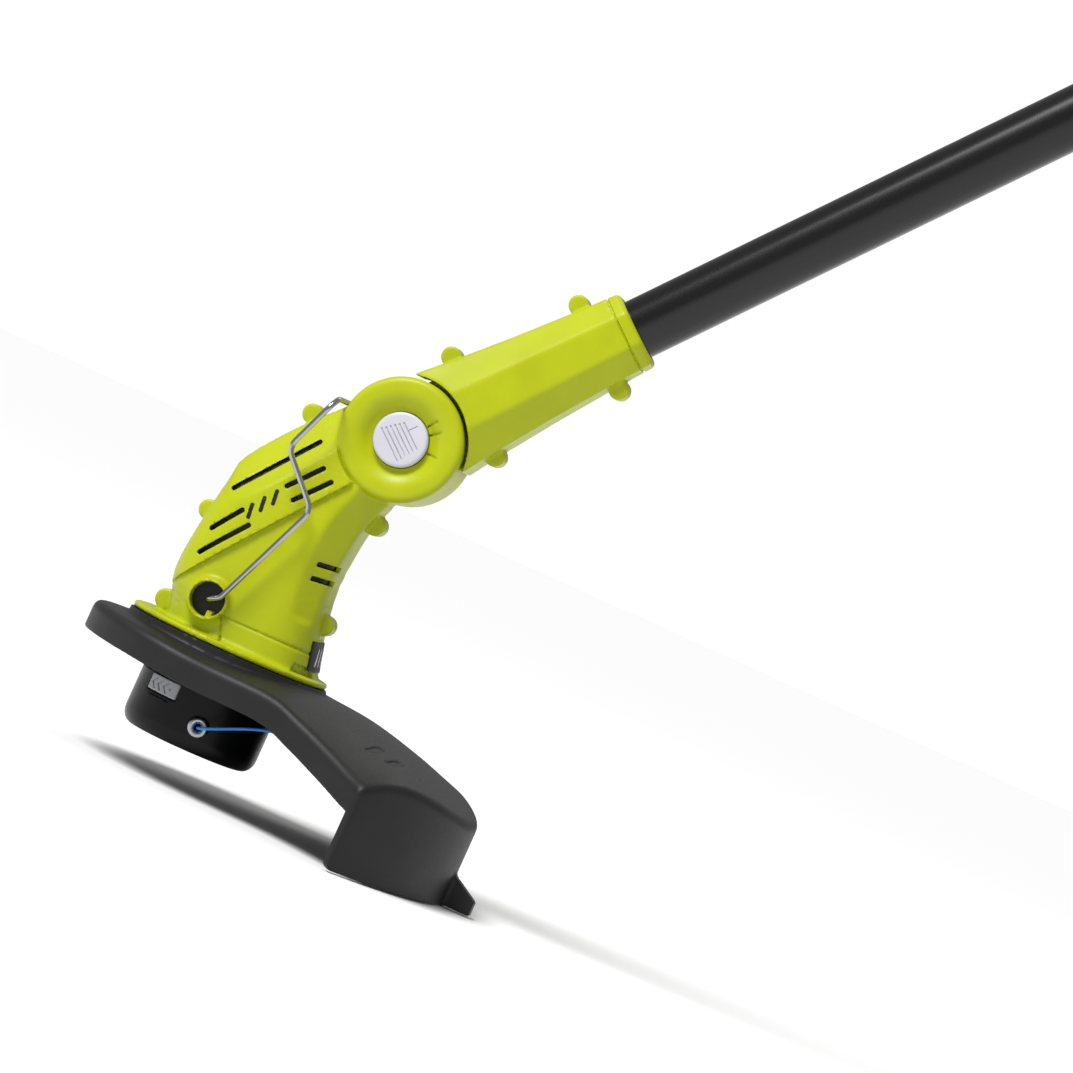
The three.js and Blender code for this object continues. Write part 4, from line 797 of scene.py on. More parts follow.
# %% [markdown]
# The finished guard also has a flat pad under the head's flange, a fin behind the skirt, a ledge
# for the blade that cuts the line, three screw holes, two ribs inside and two marks in its roof.
# %% Guard
def guard(p):
    x, y, z = p
    outline, half = guard_edge(p)
    top, edge = guard_top(x, y, half)
    radius = np.hypot(x, y)
    pad = meet(radius - PAD_RADIUS, np.abs(z - 51) - 5.6, 0.6)
    pad = cut(pad, meet(radius - 21, np.abs(z - 50) - 3))
    body = join(guard_shell(p, outline, top, edge), pad, 1.0)
    body = cut(body, rod(p, "Z", 0, 0, 5.5, 40, 70))
    fin_top = -2 - (x - SKIRT_RADIUS) * FIN_FALL
    fin = block(p, (155, FIN_TIP), (-FIN_HALF, FIN_HALF), (SKIRT_BOTTOM, 2), 0.6)
    body = join(body, meet(fin, z - fin_top, 0.6), 1.2)
    q = facing(p, SKIRT_HALF - math.radians(4))
    body = join(body, block(q, (142.5, 154.8), (-8, 8), (2.5, 5.5), 0.5), 0.8)
    body = cut(body, rod(q, "Z", 148, 0, PILOT_RADIUS, -10, 20))
    for a, b in ((-10, -34.4), (-10, 34.4), (25, 33)):
        body = cut(body, join(rod(p, "Z", a, b, PILOT_RADIUS, 40, 65),
                              rod(p, "Z", a, b, COUNTERBORE_RADIUS, 30, 53)))
    for k in (-1, 1):
        rib = meet(slit(x, y, (62, k * 20), (138, k * 46), 1.0), np.abs(z - top + 4) - 2.5)
        body = join(body, meet(rib, outline + 4), 0.8)
        mark = slit(x, y, (103 + 6 * k, -72), (107 + 6 * k, -56), 1.9)
        body = cut(body, meet(mark, top - 0.9 - z), 0.3)
    return body


moulded("line_guard", guard, "guard", 1.3, (charcoal_plastic, "head", "charcoal_plastic"),
        spare=(1, 4))

# %% [markdown]
# ## Spool cap and its latches
# The cap is a cup that spins under the guard. Two sprung pads in its wall, a half turn apart,
# let go of the hub when they are squeezed. Three arrowheads on each pad show which way it
# opens. A point is first turned so that the pad or the eyelet faces -Y, then the form is drawn
# there once.
# %% Spool cap
SPOOL_RADIUS, CAP_WALL, CAP_CHAMFER = 37.3, 2.4, 3.8
EYELET_HEIGHT, EYELET_SEAT, EYELET_HOLE, SPOKES = 14, 5.4, 3.5, 12
EYELET_TURN, LATCH_TURN = math.radians(11), math.radians(-31)
LATCH_LOW, LATCH_HIGH, LATCH_HALF = 21.8, 30.3, 10


def spool_cap(p):
    x, y, z = p
    radius = np.hypot(x, y)
    bevel = (radius - SPOOL_RADIUS + CAP_CHAMFER - z * 0.82) * 0.77
    outside = meet(meet(radius - SPOOL_RADIUS, np.abs(z - 15.75) - 15.75, 0.6), bevel, 1.2)
    inside = meet(radius - SPOOL_RADIUS + CAP_WALL, CAP_WALL - z, 1.5)
    body = cut(outside, inside)
    groove = meet(np.abs(radius - 24) - 0.7, z - 0.6)
    body = cut(body, groove, 0.2)
    for k in range(SPOKES):
        a = math.radians(15 + 30 * k)
        spoke = slit(x, y, (9 * math.cos(a), 9 * math.sin(a)), (20 * math.cos(a), 20 * math.sin(a)),
                     0.9)
        body = cut(body, meet(spoke, z - 0.7), 0.3)
    for turn in (LATCH_TURN, LATCH_TURN + math.pi):
        q = facing(p, turn)
        frame_cut = block(q, (-LATCH_HALF - 2.6, LATCH_HALF + 0.3), (-50, -36.6),
                          (LATCH_LOW - 2.4, 40), 0.3)
        window = block(q, (-LATCH_HALF - 0.3, LATCH_HALF + 0.3), (-50, -30),
                       (LATCH_LOW - 0.3, LATCH_HIGH + 0.3), 0.3)
        body = cut(cut(body, frame_cut, 0.2), window, 0.2)
    x1, y1, z1 = facing(p, EYELET_TURN)
    from_eyelet = np.hypot(x1, z1 - EYELET_HEIGHT)
    seat = meet(from_eyelet - EYELET_SEAT, np.abs(y1 + 37) - 1.0, 0.3)
    body = join(body, meet(seat, radius - SPOOL_RADIUS - 0.25), 0.4)
    return cut(body, meet(from_eyelet - EYELET_HOLE, y1))


cap = contour("line_spool_cap", spool_cap, (-39, -39, -1), (39, 39, 32.5), 0.62)
dress(cap, black_plastic, "spool", "black_plastic", "spool_cap")


# %% Squeeze pads
def latch(p, turn):
    x, y, z = facing(p, turn)
    radius = np.hypot(x, y)
    pad = meet(block((x, y, z), (-LATCH_HALF, LATCH_HALF), (-50, -34), (LATCH_LOW, LATCH_HIGH),
                     0.5), np.abs(radius - 35.9) - 1.8, 0.4)
    middle = (LATCH_LOW + LATCH_HIGH) / 2
    for k in range(3):
        tip = -7.2 + 4.2 * k
        for way in (-1, 1):
            stroke = slit(x, z, (tip, middle), (tip + 2.4, middle + 2.7 * way), 0.42)
            pad = cut(pad, meet(stroke, 37.1 - radius), 0.15)
    pad = cut(pad, meet(np.hypot(x - 5.6, z - middle) - 0.6, 37.0 - radius), 0.15)
    tongue = block((x, y, z), (-4, 4), (-35, -26), (LATCH_HIGH - 3, LATCH_HIGH - 1), 0.4)
    return join(pad, tongue, 0.4)


for k, turn in enumerate((LATCH_TURN, LATCH_TURN + math.pi), 1):
    moulded(f"squeeze_pad_{k}", lambda p: latch(p, turn), f"cap_latch_{k}", 0.34,
            (latch_plastic, f"cap_latch_{k}", "pale_grey_plastic"))

# %% [markdown]
# ## Turned pieces
# The hub, eyelet, bolt, pin and tubes are bodies of revolution. A profile of radius and height is
# spun about the axis, with a small extra point at each corner so that the edge catches light as
# a real turned edge does. The Spin or Screw tool would do the same; arrays keep each size exact.
# %% Turning a profile
def turned(name, profile, sides=64, matrix=TO_ROW, corner=0.3):
    """Spins a profile of (radius, height) in mm about Z, with its corners cut by a small bevel."""
    profile = [np.array(q, float) for q in profile]
    count = len(profile)
    ring = []
    for i, here in enumerate(profile):
        before, after = profile[i - 1], profile[(i + 1) % count]
        if here[0] <= 0.01:
            ring.append(here)
            continue
        for other in (before, after):
            length = np.linalg.norm(other - here)
            ring.append(here + (other - here) / length * min(corner, length / 3))
    ring = np.array(ring)
    turn = np.linspace(0, 2 * np.pi, sides, endpoint=False)
    vertices = np.stack([np.outer(np.cos(turn), ring[:, 0]), np.outer(np.sin(turn), ring[:, 0]),
                         np.tile(ring[:, 1], (sides, 1))], 2).reshape(-1, 3)
    m = len(ring)
    faces = [(j * m + i, (j + 1) % sides * m + i, (j + 1) % sides * m + (i + 1) % m,
              j * m + (i + 1) % m) for j in range(sides) for i in range(m)]
    mesh = bpy.data.meshes.new(name)
    mesh.from_pydata((vertices * MM).tolist(), [], faces)
    tidy(mesh)
    mesh.transform(matrix)
    return link(name, mesh)


def tidy(mesh, crease=35):
    """Merges doubled points, drops empty faces and turns all faces outwards."""
    work = bmesh.new()
    work.from_mesh(mesh)
    bmesh.ops.remove_doubles(work, verts=work.verts, dist=1e-6)
    bmesh.ops.dissolve_degenerate(work, edges=work.edges, dist=1e-7)
    bmesh.ops.recalc_face_normals(work, faces=work.faces)
    if work.calc_volume(signed=True) < 0:
        bmesh.ops.reverse_faces(work, faces=work.faces)
    work.to_mesh(mesh)
    work.free()
    mesh.shade_smooth()
    mesh.set_sharp_from_angle(angle=math.radians(crease))


def laid(direction, place):
    """A matrix that lays local Z along a direction at a place in mm."""
    turn = Vector(direction).to_track_quat("Z", "Y").to_matrix().to_4x4()
    return Matrix.Translation(Vector(place) * MM) @ turn


# %% [markdown]
# The pale hub shows as a thin ring between cup and guard. The eyelet is a flared metal bush that
# the line runs through. The tubes take their ends and radii from the CAD boxes.
# %% Hub and eyelet
hub = turned("spool_neck", [
    (4.3, 26.5), (22, 26.5), (22, 31.8), (33, 31.8), (33, 34.2), (27, 35.4), (23, 36.3),
    (19.5, 37.5), (17, 39.4), (17, 44), (4.3, 44),
], 72)
dress(hub, pale_plastic, "spool", "pale_grey_plastic", "spool_hub")

radial = Vector((math.sin(EYELET_TURN), -math.cos(EYELET_TURN), 0))
eyelet = turned("line_bush", [
    (1.7, 33.9), (3.2, 33.9), (3.2, 37.5), (5.4, 37.5), (5.4, 38.1), (4.9, 38.7), (4.1, 39.0),
    (3.1, 38.9), (2.2, 38.4), (1.7, 37.4),
], 40, laid(radial, (0, 0, EYELET_HEIGHT)), 0.12)
dress(eyelet, turned_steel, "spool", "steel", "line_eyelet")

# %% Tubes
ALONG = TO_SHAFT @ Matrix.Rotation(math.pi / 2, 4, "Y")
TUBE_WALL, TUBE_EDGE, TUBE_SIDES = 1.4, 0.5, 96


def sleeve(name, node_name, *finish_of):
    (start, _, _), (end, outer, _) = node_box(node_name, TO_SHAFT)
    inner = outer - TUBE_WALL
    made = turned(name, [(inner, start), (outer, start), (outer, end), (inner, end)],
                  TUBE_SIDES, ALONG, TUBE_EDGE)
    return dress(made, *finish_of, node_name)


sleeve("painted_tube", "lower_tube", tube_paint, "lower_shaft", "black_tube")
sleeve("inner_tube", "upper_tube", turned_steel, "root", "steel")

# %% [markdown]
# ## Pivot button
# A round button in the middle of the ear: pressing it pulls a toothed wheel out of the tongue so
# the head can be tilted. Its six fine grooves run across the shaft, each ending in a small dot,
# and one short tick points along the shaft to the detent marks round the dish.
# %% Pivot button
BUTTON_RADIUS, BUTTON_FACE = 14.5, -30.5
GROOVES, GROOVE_STEP, GROOVE_HALF = 6, 2.35, 0.26


def button(p):
    x, y, z = p
    crown = BUTTON_FACE - 0.35 + 0.35 * (x * x + z * z) / BUTTON_RADIUS**2
    cap = meet(rod(p, "Y", 0, 0, BUTTON_RADIUS, -34, -20.5), crown - y, 1.0)
    cog_teeth = 8.9 + 0.9 * np.cos(12 * np.arctan2(z, x))
    cog = meet((np.hypot(x, z) - cog_teeth) * 0.8, np.abs(y + 11.5) - 9.5, 0.3)
    body = cut(join(cap, cog, 0.6), rod(p, "Y", 0, 0, 6.3, -12, 0))
    depth = y - BUTTON_FACE - 0.45
    for k in range(GROOVES):
        across_at = -6.0 + GROOVE_STEP * k
        lift = 0.9 * k
        groove = slit(x, z, (across_at, 9.4 - lift * 0.6), (across_at, -9.2 + lift * 0.2),
                      GROOVE_HALF)
        dot = np.hypot(x - across_at, z - 9.4 + lift * 0.6) - 0.55
        body = cut(body, meet(join(groove, dot), depth), 0.1)
    tick = slit(x, z, (6.6, 2.2), (11, 2.2), GROOVE_HALF)
    return cut(body, meet(tick, depth), 0.1)


moulded("release_button", button, "pivot_button", 0.4,
        (pale_plastic, "pivot_button", "pale_grey_plastic"), TO_SHAFT)

# %% [markdown]
# ## Geometry Nodes
# What repeats, or follows a path, is made by a node tree: the trees are written here, node by
# node. `Tree` is a small helper that adds a node, sets its plain inputs and links the rest.
# `grown` then runs the tree as a modifier on an empty mesh, takes the result as a plain mesh and
# throws the modifier away, so nothing is left live.
# %% Building a tree
class Tree:
    """A Geometry Nodes tree with named inputs, written one node at a time."""

    def __init__(self, name, **sizes):
        self.tree = bpy.data.node_groups.new(name, "GeometryNodeTree")
        self.tree.interface.new_socket("Geometry", in_out="INPUT", socket_type="NodeSocketGeometry")
        self.tree.interface.new_socket("Geometry", in_out="OUTPUT",
                                       socket_type="NodeSocketGeometry")
        self.sizes = {}
        for key, value in sizes.items():
            kind = "NodeSocketInt" if isinstance(value, int) else "NodeSocketFloat"
            made = self.tree.interface.new_socket(key, in_out="INPUT", socket_type=kind)
            self.sizes[key] = (made.identifier, value)
        self.inputs = self.tree.nodes.new("NodeGroupInput").outputs

    def add(self, kind, settings=None, **links):
        made = self.tree.nodes.new(kind)
        for key, value in (settings or {}).items():
            setattr(made, key, value)
        for key, value in links.items():
            socket = made.inputs[int(key[1:])] if key[1:].isdigit() and key[0] == "_" else (
                made.inputs[key.replace("_", " ")])
            if isinstance(value, bpy.types.NodeSocket):
                self.tree.links.new(value, socket)
            else:
                socket.default_value = value
        return made.outputs

    def finish(self, geometry, material):
        real = self.add("GeometryNodeRealizeInstances", Geometry=geometry)[0]
        painted = self.add("GeometryNodeSetMaterial", Geometry=real, Material=material)[0]
        end = self.tree.nodes.new("NodeGroupOutput")
        self.tree.links.new(painted, end.inputs[0])
        return self


# %% Running a tree
def grown(name, recipe, host=None, matrix=TO_ROW, crease=35):
    """Runs a tree on a mesh (an empty one by default) and returns the result as a plain piece."""
    carrier = link(name + "_carrier", host or bpy.data.meshes.new(name))
    modifier = carrier.modifiers.new("grow", "NODES")
    modifier.node_group = recipe.tree
    for identifier, value in recipe.sizes.values():
        modifier[identifier] = value
    evaluated = carrier.evaluated_get(bpy.context.evaluated_depsgraph_get())
    mesh = bpy.data.meshes.new_from_object(evaluated)
    bpy.data.objects.remove(carrier)
    mesh.name = name
    tidy(mesh, crease)
    mesh.transform(matrix)
    return link(name, mesh)


# %% [markdown]
# The wire guide is one spring-steel rod bent at five places on each side, so that the user can
# see how near the line is to a flower bed. A poly line through the bends, a Fillet Curve node
# for the bend radius and a round section swept along it give exactly what a wire bender gives.
# %% Wire guide
WIRE_RADIUS, WIRE_SIDE, WIRE_END, BEND_RADIUS = 1.5, 46.8, 35.5, 8.5
WIRE_LEG = [(-8.6, 80.5), (16.2, 140.6), (-8.1, 165.9), (4.9, 199.1)]


def wire_tree():
    t = Tree("bent_wire", BendRadius=BEND_RADIUS * MM, WireRadius=WIRE_RADIUS * MM, BendSteps=10)
    curve = t.add("GeometryNodeMeshToCurve", Mesh=t.inputs["Geometry"])[0]
    curve = t.add("GeometryNodeFilletCurve", {"mode": "POLY"}, Curve=curve,
                  Radius=t.inputs["BendRadius"], Count=t.inputs["BendSteps"],
                  Limit_Radius=True)[0]
    section = t.add("GeometryNodeCurvePrimitiveCircle", Resolution=20,
                    Radius=t.inputs["WireRadius"])[0]
    mesh = t.add("GeometryNodeCurveToMesh", Curve=curve, Profile_Curve=section, Fill_Caps=True)[0]
    return t.finish(mesh, bright_wire)


def poly_line(name, points):
    mesh = bpy.data.meshes.new(name)
    mesh.from_pydata([Vector(q) * MM for q in points], [(i, i + 1) for i in range(len(points) - 1)],
                     [])
    return mesh


def wire_side(s):
    bx, bz = WIRE_BOSS
    leg = [(x, s * WIRE_SIDE, z) for x, z in WIRE_LEG]
    return [(bx, s * WIRE_END, bz), (bx, s * WIRE_SIDE, bz)] + leg


wire = grown("edge_wire", wire_tree(), poly_line("bends", wire_side(-1) + wire_side(1)[::-1]))
dress(wire, bright_wire, "wire_guide", "chrome_wire", "wire_guide")


# %% [markdown]
# ## Clamp and front handle
# Further up the shaft a quick clamp locks the inner tube in the outer one: a ribbed barrel with two
# lugs, a pin through them and a lever on the pin. The barrel's radius is read from a short
# table along the shaft, and its ribs are one wave round it. The lever swings on the pin, so it is
# a piece of its own on a body of its own.
# %% Outline helper and the clamp's measures
def outline(u, v, points):
    """Signed distance from a closed outline given by its corners."""
    points = np.array(points, float)
    nearest = np.full(np.broadcast(u, v).shape, 1e9)
    inside = np.zeros(nearest.shape, bool)
    for (au, av), (bu, bv) in zip(points, np.roll(points, -1, 0)):
        nearest = np.minimum(nearest, slit(u, v, (au, av), (bu, bv), 0))
        straddles = (av > v) != (bv > v)
        rise = bv - av if abs(bv - av) > 1e-9 else 1e-9
        inside ^= straddles & (u < (bu - au) * (v - av) / rise + au)
    return np.where(inside, -nearest, nearest)


(clamp_from, _, clamp_low), (clamp_to, clamp_half, _) = node_box("clamp_collar", TO_SHAFT)
TUBE_END = node_box("lower_tube", TO_SHAFT)[1][0]
INNER_RADIUS = node_box("upper_tube", TO_SHAFT)[1][1]
clamp_pin_low, clamp_pin_high = node_box("clamp_pin", TO_SHAFT)
CLAMP_PIN = ((clamp_pin_low[0] + clamp_pin_high[0]) / 2, (clamp_pin_low[2] + clamp_pin_high[2]) / 2)
print("the clamp is", round(clamp_to - clamp_from, 1), "mm long")


# %% Clamp
def clamp(p):
    x, y, z = p
    radius = np.hypot(y, z)
    hull = np.interp(x, (clamp_from, clamp_from + 6, clamp_to - 8, clamp_to),
                     (TUBE_RADIUS + 4, clamp_half, clamp_half, INNER_RADIUS + 4.3))
    ribs = 0.7 * step(np.cos(24 * np.arctan2(z, y)) - 0.1, 0.6) * step(x - clamp_from - 9, 3)
    ribs = ribs * step(clamp_to - 12 - x, 3) * step(z + 12, 4)
    body = meet(radius - hull + 0.2 + ribs, np.abs(x - (clamp_from + clamp_to) / 2)
                - (clamp_to - clamp_from) / 2, 1.2)
    for s in (-1, 1):
        lug = outwards(s, 5, 9.5)
        boss = join(rod(p, "Y", *CLAMP_PIN, 6, *lug, 0.5),
                    block(p, (CLAMP_PIN[0] - 6, CLAMP_PIN[0] + 6), lug, (CLAMP_PIN[1], -18), 0.4))
        body = join(body, boss, 1.2)
    bore = np.where(x < TUBE_END + 0.3, TUBE_RADIUS + 0.3, INNER_RADIUS + 0.3)
    return cut(cut(body, radius - bore, 0.3), rod(p, "Y", *CLAMP_PIN, 2.3, -20, 20))


moulded("shaft_clamp", clamp, "clamp_collar", 0.7, (black_plastic, "lower_shaft", "black_plastic"),
        TO_SHAFT)

# %% Clamp lever
LEVER_TIP = node_box("clamp_lever", TO_SHAFT)[0][0]


def clamp_lever(p):
    x, y, z = p
    px, pz = CLAMP_PIN
    eye = rod(p, "Y", px, pz, 5, -4.7, 4.7, 0.6)
    arm = block(p, (LEVER_TIP, px), (-4.4, 4.4), (pz - 5, pz - 0.6), 0.8)
    pad = block(p, (LEVER_TIP, px - 14), (-9, 9), (pz - 5, pz - 1.2), 1.2)
    body = join(join(eye, arm, 1.5), pad, 1.5)
    for k in range(6):
        at = LEVER_TIP + 5 + 3.2 * k
        groove = slit(x, z, (at, pz - 5.2), (at, pz - 5), 0.6)
        body = cut(body, meet(groove, np.abs(y) - 7.2), 0.3)
    return cut(body, rod(p, "Y", px, pz, 2.3, -20, 20))


moulded("clamp_toggle", clamp_lever, "clamp_lever", 0.6,
        (lime_plastic, "clamp_lever", "lime_plastic"), TO_SHAFT)

# %% [markdown]
# The looped handle is bolted to a ring on the inner tube. The loop follows one smooth route: the
# field of a bent bar is the distance to the nearest of its short straight spans, minus its
# radius. A bevelled curve gives the same bar, but as a field it also grows out of its two eyes
# with fillets.
# %% Loop handle
bolt_low, bolt_high = node_box("front_handle_bolt", TO_SHAFT)
AUX = ((bolt_low[0] + bolt_high[0]) / 2, (bolt_low[2] + bolt_high[2]) / 2)
BAR_RADIUS, BOLT_CLEARANCE = 9, 3.5
LOOP = [(13.2, 20), (16, 31), (31, 42), (51, 60), (58, 86), (48, 110), (24, 121)]
loop_route = smooth_route([(y, up) for y, up in LOOP] + [(-y, up) for y, up in LOOP[::-1]], 4)


def front_handle(p):
    x, y, z = p
    up = z - AUX[1]
    flat = np.full(np.broadcast(y, z).shape, 1e9)
    for a, b in zip(loop_route, loop_route[1:]):
        flat = np.minimum(flat, slit(y, up, a, b, 0))
    grip = step(up - 84, 10)
    ridge = 0.5 * (1 - np.cos(2 * np.pi * np.abs(y) / 7.0)) * step(up - 104, 6) * 0.35
    body = (np.hypot(x - AUX[0], flat * (1 + 0.04 * grip)) - BAR_RADIUS + ridge) * 0.95
    for s in (-1, 1):
        side = outwards(s, 8.3, 18)
        body = join(body, rod(p, "Y", *AUX, 11, *side, 0.8), 1.5)
        body = join(body, block(p, (AUX[0] - 9, AUX[0] + 9), side, (AUX[1], AUX[1] + 22), 1.5), 3)
    body = meet(body, -meet(np.abs(y) - 8.3, up - 24), 0.6)
    return cut(body, rod(p, "Y", *AUX, BOLT_CLEARANCE, -40, 40), 0.3)


moulded("loop_handle", front_handle, "front_handle", 1.0,
        (black_plastic, "front_handle", "black_plastic"), TO_SHAFT)

# %% Ring
(ring_from, ring_half, _), (ring_to, ring_radius, _) = node_box("front_handle_bracket", TO_SHAFT)


def bracket(p):
    x, y, z = p
    radius = np.hypot(y, z)
    body = meet(radius - ring_radius, np.abs(x - AUX[0]) - (ring_to - ring_from) / 2, 1.6)
    body = cut(body, meet(np.abs(np.abs(x - AUX[0]) - 8) - 1.2, ring_radius - 0.8 - radius), 0.5)
    lug = join(rod(p, "Y", *AUX, 10, -8, 8, 0.8),
               block(p, (AUX[0] - 10, AUX[0] + 10), (-8, 8), (14, AUX[1]), 0.8))
    body = join(body, lug, 2.0)
    body = cut(body, rod(p, "X", 0, 0, INNER_RADIUS + 0.3, 800, 930), 0.4)
    return cut(body, rod(p, "Y", *AUX, BOLT_CLEARANCE, -20, 20), 0.3)


moulded("handle_ring", bracket, "front_handle_bracket", 0.8,
        (black_plastic, "root", "black_plastic"), TO_SHAFT)


# %% Knob, bolt and pin
def knob(p):
    x, y, z = p
    u, v = x - AUX[0], z - AUX[1]
    radius, angle = np.hypot(u, v), np.arctan2(v, u)
    lobes = 12.6 + 2.9 * np.cos(5 * angle)
    body = meet((radius - lobes) * 0.8, np.abs(y - 27) - 4, 1.4)
    body = join(body, rod(p, "Y", *AUX, 10, 18.3, 33, 1.2), 1.2)
    body = cut(body, meet(np.abs(radius - 6.4) - 0.7, 32.2 - y), 0.3)
    return cut(body, rod(p, "Y", *AUX, BOLT_CLEARANCE, 0, 40), 0.3)


moulded("handle_knob", knob, "front_handle_knob", 0.6,
        (lime_plastic, "front_handle_knob", "lime_plastic"), TO_SHAFT)


def crosswise(place):
    """Local Z laid across the tool, at a place in the shaft's side view."""
    return TO_SHAFT @ Matrix.Translation((place[0] * MM, 0, place[1] * MM)) @ Matrix.Rotation(
        -math.pi / 2, 4, "X")


bolt = turned("handle_bolt", [
    (0, -21.5), (1.6, -21.5), (2.2, -20.2), (4.4, -20.2), (5.0, -21.5), (6, -21.5), (6.5, -20.5),
    (6.5, -18.3), (3.2, -18.3), (3.2, 31), (0, 32),
], 40, crosswise(AUX), 0.15)
dress(bolt, turned_steel, "root", "steel", "front_handle_bolt")
pin = turned("toggle_pin", [(0, -9.5), (2, -9.5), (2, 9.5), (0, 9.5)], 32, crosswise(CLAMP_PIN))
dress(pin, turned_steel, "lower_shaft", "steel", "clamp_pin")

# %% [markdown]
# ## Rear handle and battery
# The rear handle swells from a slim neck to the battery dock. Its sections are read from one
# table, as the casing's were: place along the shaft, half width, half height, middle, and how
# square. Every place is counted from the handle's start or its dock, both read from the CAD.
# %% Rear handle sections
(HANDLE_START, _, _), (DOCK, _, _) = node_box("rear_shell_left", TO_SHAFT)
HANDLE = np.array([
    (HANDLE_START, 20, 20, 0, 2.2), (HANDLE_START + 38, 21.5, 22, 0, 2.3),
    (HANDLE_START + 64, 20, 23, 1, 2.4), (HANDLE_START + 98, 18.5, 21.5, 2, 2.4),
    (DOCK - 105, 18.5, 21.5, 2, 2.4), (DOCK - 75, 22, 26, 0, 2.6), (DOCK - 47, 34, 36, -3, 3),
    (DOCK - 20, 39, 41, -5, 3.4), (DOCK, 40, 42, -5, 3.6),
])
HANDLE_BOSSES = [(HANDLE_START + 62, 15), (DOCK - 91, -16), (DOCK - 23, -36)]
TRIGGER_SLOT = (HANDLE_START + 72, HANDLE_START + 122)
LOCK_SLOT = (TRIGGER_SLOT[0] + 2, TRIGGER_SLOT[0] + 36)
TRIGGER_PIN = (TRIGGER_SLOT[0] + 6, -14.5)
SLOT_HALF, GROOVE_DEPTH = 7.3, 0.8


def grip(p, inset=0.0, rows=HANDLE):
    x, y, z = p
    half_y, half_z, middle, power = (np.interp(x, rows[:, 0], rows[:, k]) for k in (1, 2, 3, 4))
    return oval(y, z - middle, half_y - inset, half_z - inset, power)


# %% Rear shells
def rear_shell(p, side):
    x, y, z = p
    body = meet(grip(p), np.abs(x - (HANDLE_START + DOCK) / 2) - (DOCK - HANDLE_START) / 2, 1.6)
    for at in (HANDLE_START + 6, HANDLE_START + 12, DOCK - 9):
        body = cut(body, meet(-grip(p, GROOVE_DEPTH), np.abs(x - at) - 0.7), 0.4)
    for k in range(5):
        vent = slit(x, z, (DOCK - 52 + 6 * k, 4), (DOCK - 44 + 6 * k, 20), 1.2)
        body = cut(body, meet(vent, 20 - np.abs(y)), 0.4)
    hollow = meet(grip(p, WALL), np.abs(x - (HANDLE_START + 31 + DOCK) / 2)
                  - (DOCK - 34 - HANDLE_START) / 2)
    hollow = cut(hollow, block(p, (HANDLE_START + 49, HANDLE_START + 53), (-50, 50), (-50, 50)))
    for a, b in HANDLE_BOSSES:
        hollow = cut(hollow, rod(p, "Y", a, b, BOSS_RADIUS, -FAR, FAR))
    body = cut(body, hollow)
    body = cut(body, rod(p, "X", 0, 0, INNER_RADIUS + 0.3, HANDLE_START - 5, HANDLE_START + 48.3),
               0.4)
    body = cut(body, block(p, TRIGGER_SLOT, (-SLOT_HALF, SLOT_HALF), (-40, -8), 0.6), 0.5)
    body = cut(body, block(p, LOCK_SLOT, (-SLOT_HALF, SLOT_HALF), (15, 40), 0.6), 0.5)
    body = cut(body, block(p, (DOCK - 30, DOCK + 5), (-18.6, 18.6), (-27.6, 17.6), 0.6), 0.5)
    body = cut(body, rod(p, "Y", *TRIGGER_PIN, 2.3, -11.3, 11.3))
    body = cut(body, screw_holes(p, HANDLE_BOSSES, side))
    return meet(body, side * -y + SPLIT)


for side, hand in SIDES:
    moulded(f"rear_casing_{hand}", lambda p: rear_shell(p, side), f"rear_shell_{hand}", 1.15,
            (lime_plastic, "root", "lime_plastic"), TO_SHAFT)

# %% [markdown]
# The rubber grip is a second, slightly larger skin over part of the handle, with fine ribs that
# run round the hand and a window round the trigger and the lock-off.
# %% Rubber grip
GRIP_SPAN = (HANDLE_START + 84, DOCK - 82)
RIB_HEIGHT, RIB_PITCH = 0.25, 3.2


def rubber(p):
    x, y, z = p
    ribs = RIB_HEIGHT * np.cos(2 * np.pi * x / RIB_PITCH) * step(-z - 4, 6)
    skin = meet(grip(p, -0.9 + ribs), -grip(p, 0.4), 0.3)
    ends = np.abs(x - sum(GRIP_SPAN) / 2) - (GRIP_SPAN[1] - GRIP_SPAN[0]) / 2 + 0.012 * z * z
    body = meet(skin, ends, 0.4)
    window = join(block(p, (TRIGGER_SLOT[0] - 3, TRIGGER_SLOT[1] + 3), (-9.5, 9.5), (-40, 0), 1.5),
                  block(p, (LOCK_SLOT[0] - 3, LOCK_SLOT[1] + 3), (-9.5, 9.5), (0, 50), 1.5))
    body = cut(body, window, 0.3)
    for a, b in HANDLE_BOSSES:
        body = cut(body, rod(p, "Y", a, b, 5, -FAR, FAR))
    return body


rubber_piece = contour("grip_skin", rubber, (GRIP_SPAN[0] - 1, -24, -30),
                       (GRIP_SPAN[1] + 1, 24, 30), 0.8, TO_SHAFT)
dress(rubber_piece, grip_rubber, "root", "grip_rubber")

# %% [markdown]
# The trigger's side view is a closed outline, made into a plate with soft edges and grooved for
# the finger. It turns on a pin moulded in the shells. The lock-off is a slide with three ribs for
# the thumb.
# %% Trigger
a, b = TRIGGER_SLOT
TRIGGER = [(a + 1, -12), (a + 1, -21), (a + 8, -23.8), (a + 16, -26.4), (a + 26, -28.5),
           (a + 36, -29.8), (a + 42, -31.2), (a + 44, -34), (b - 3.5, -33), (b - 4.5, -17),
           (a + 16, -12)]


def trigger_field(p):
    x, y, z = p
    body = meet(outline(x, z, TRIGGER), np.abs(y) - 7, 1.0)
    for k in range(5):
        at = a + 10 + 5 * k
        body = cut(body, meet(np.abs(x - at) - 0.5, z + 23.0 + 0.19 * (at - a)), 0.3)
    return join(body, rod(p, "Y", *TRIGGER_PIN, 2, -11, 11, 0.2), 0.4)


moulded("finger_trigger", trigger_field, "trigger", 0.55,
        (black_plastic, "trigger", "black_plastic"), TO_SHAFT)


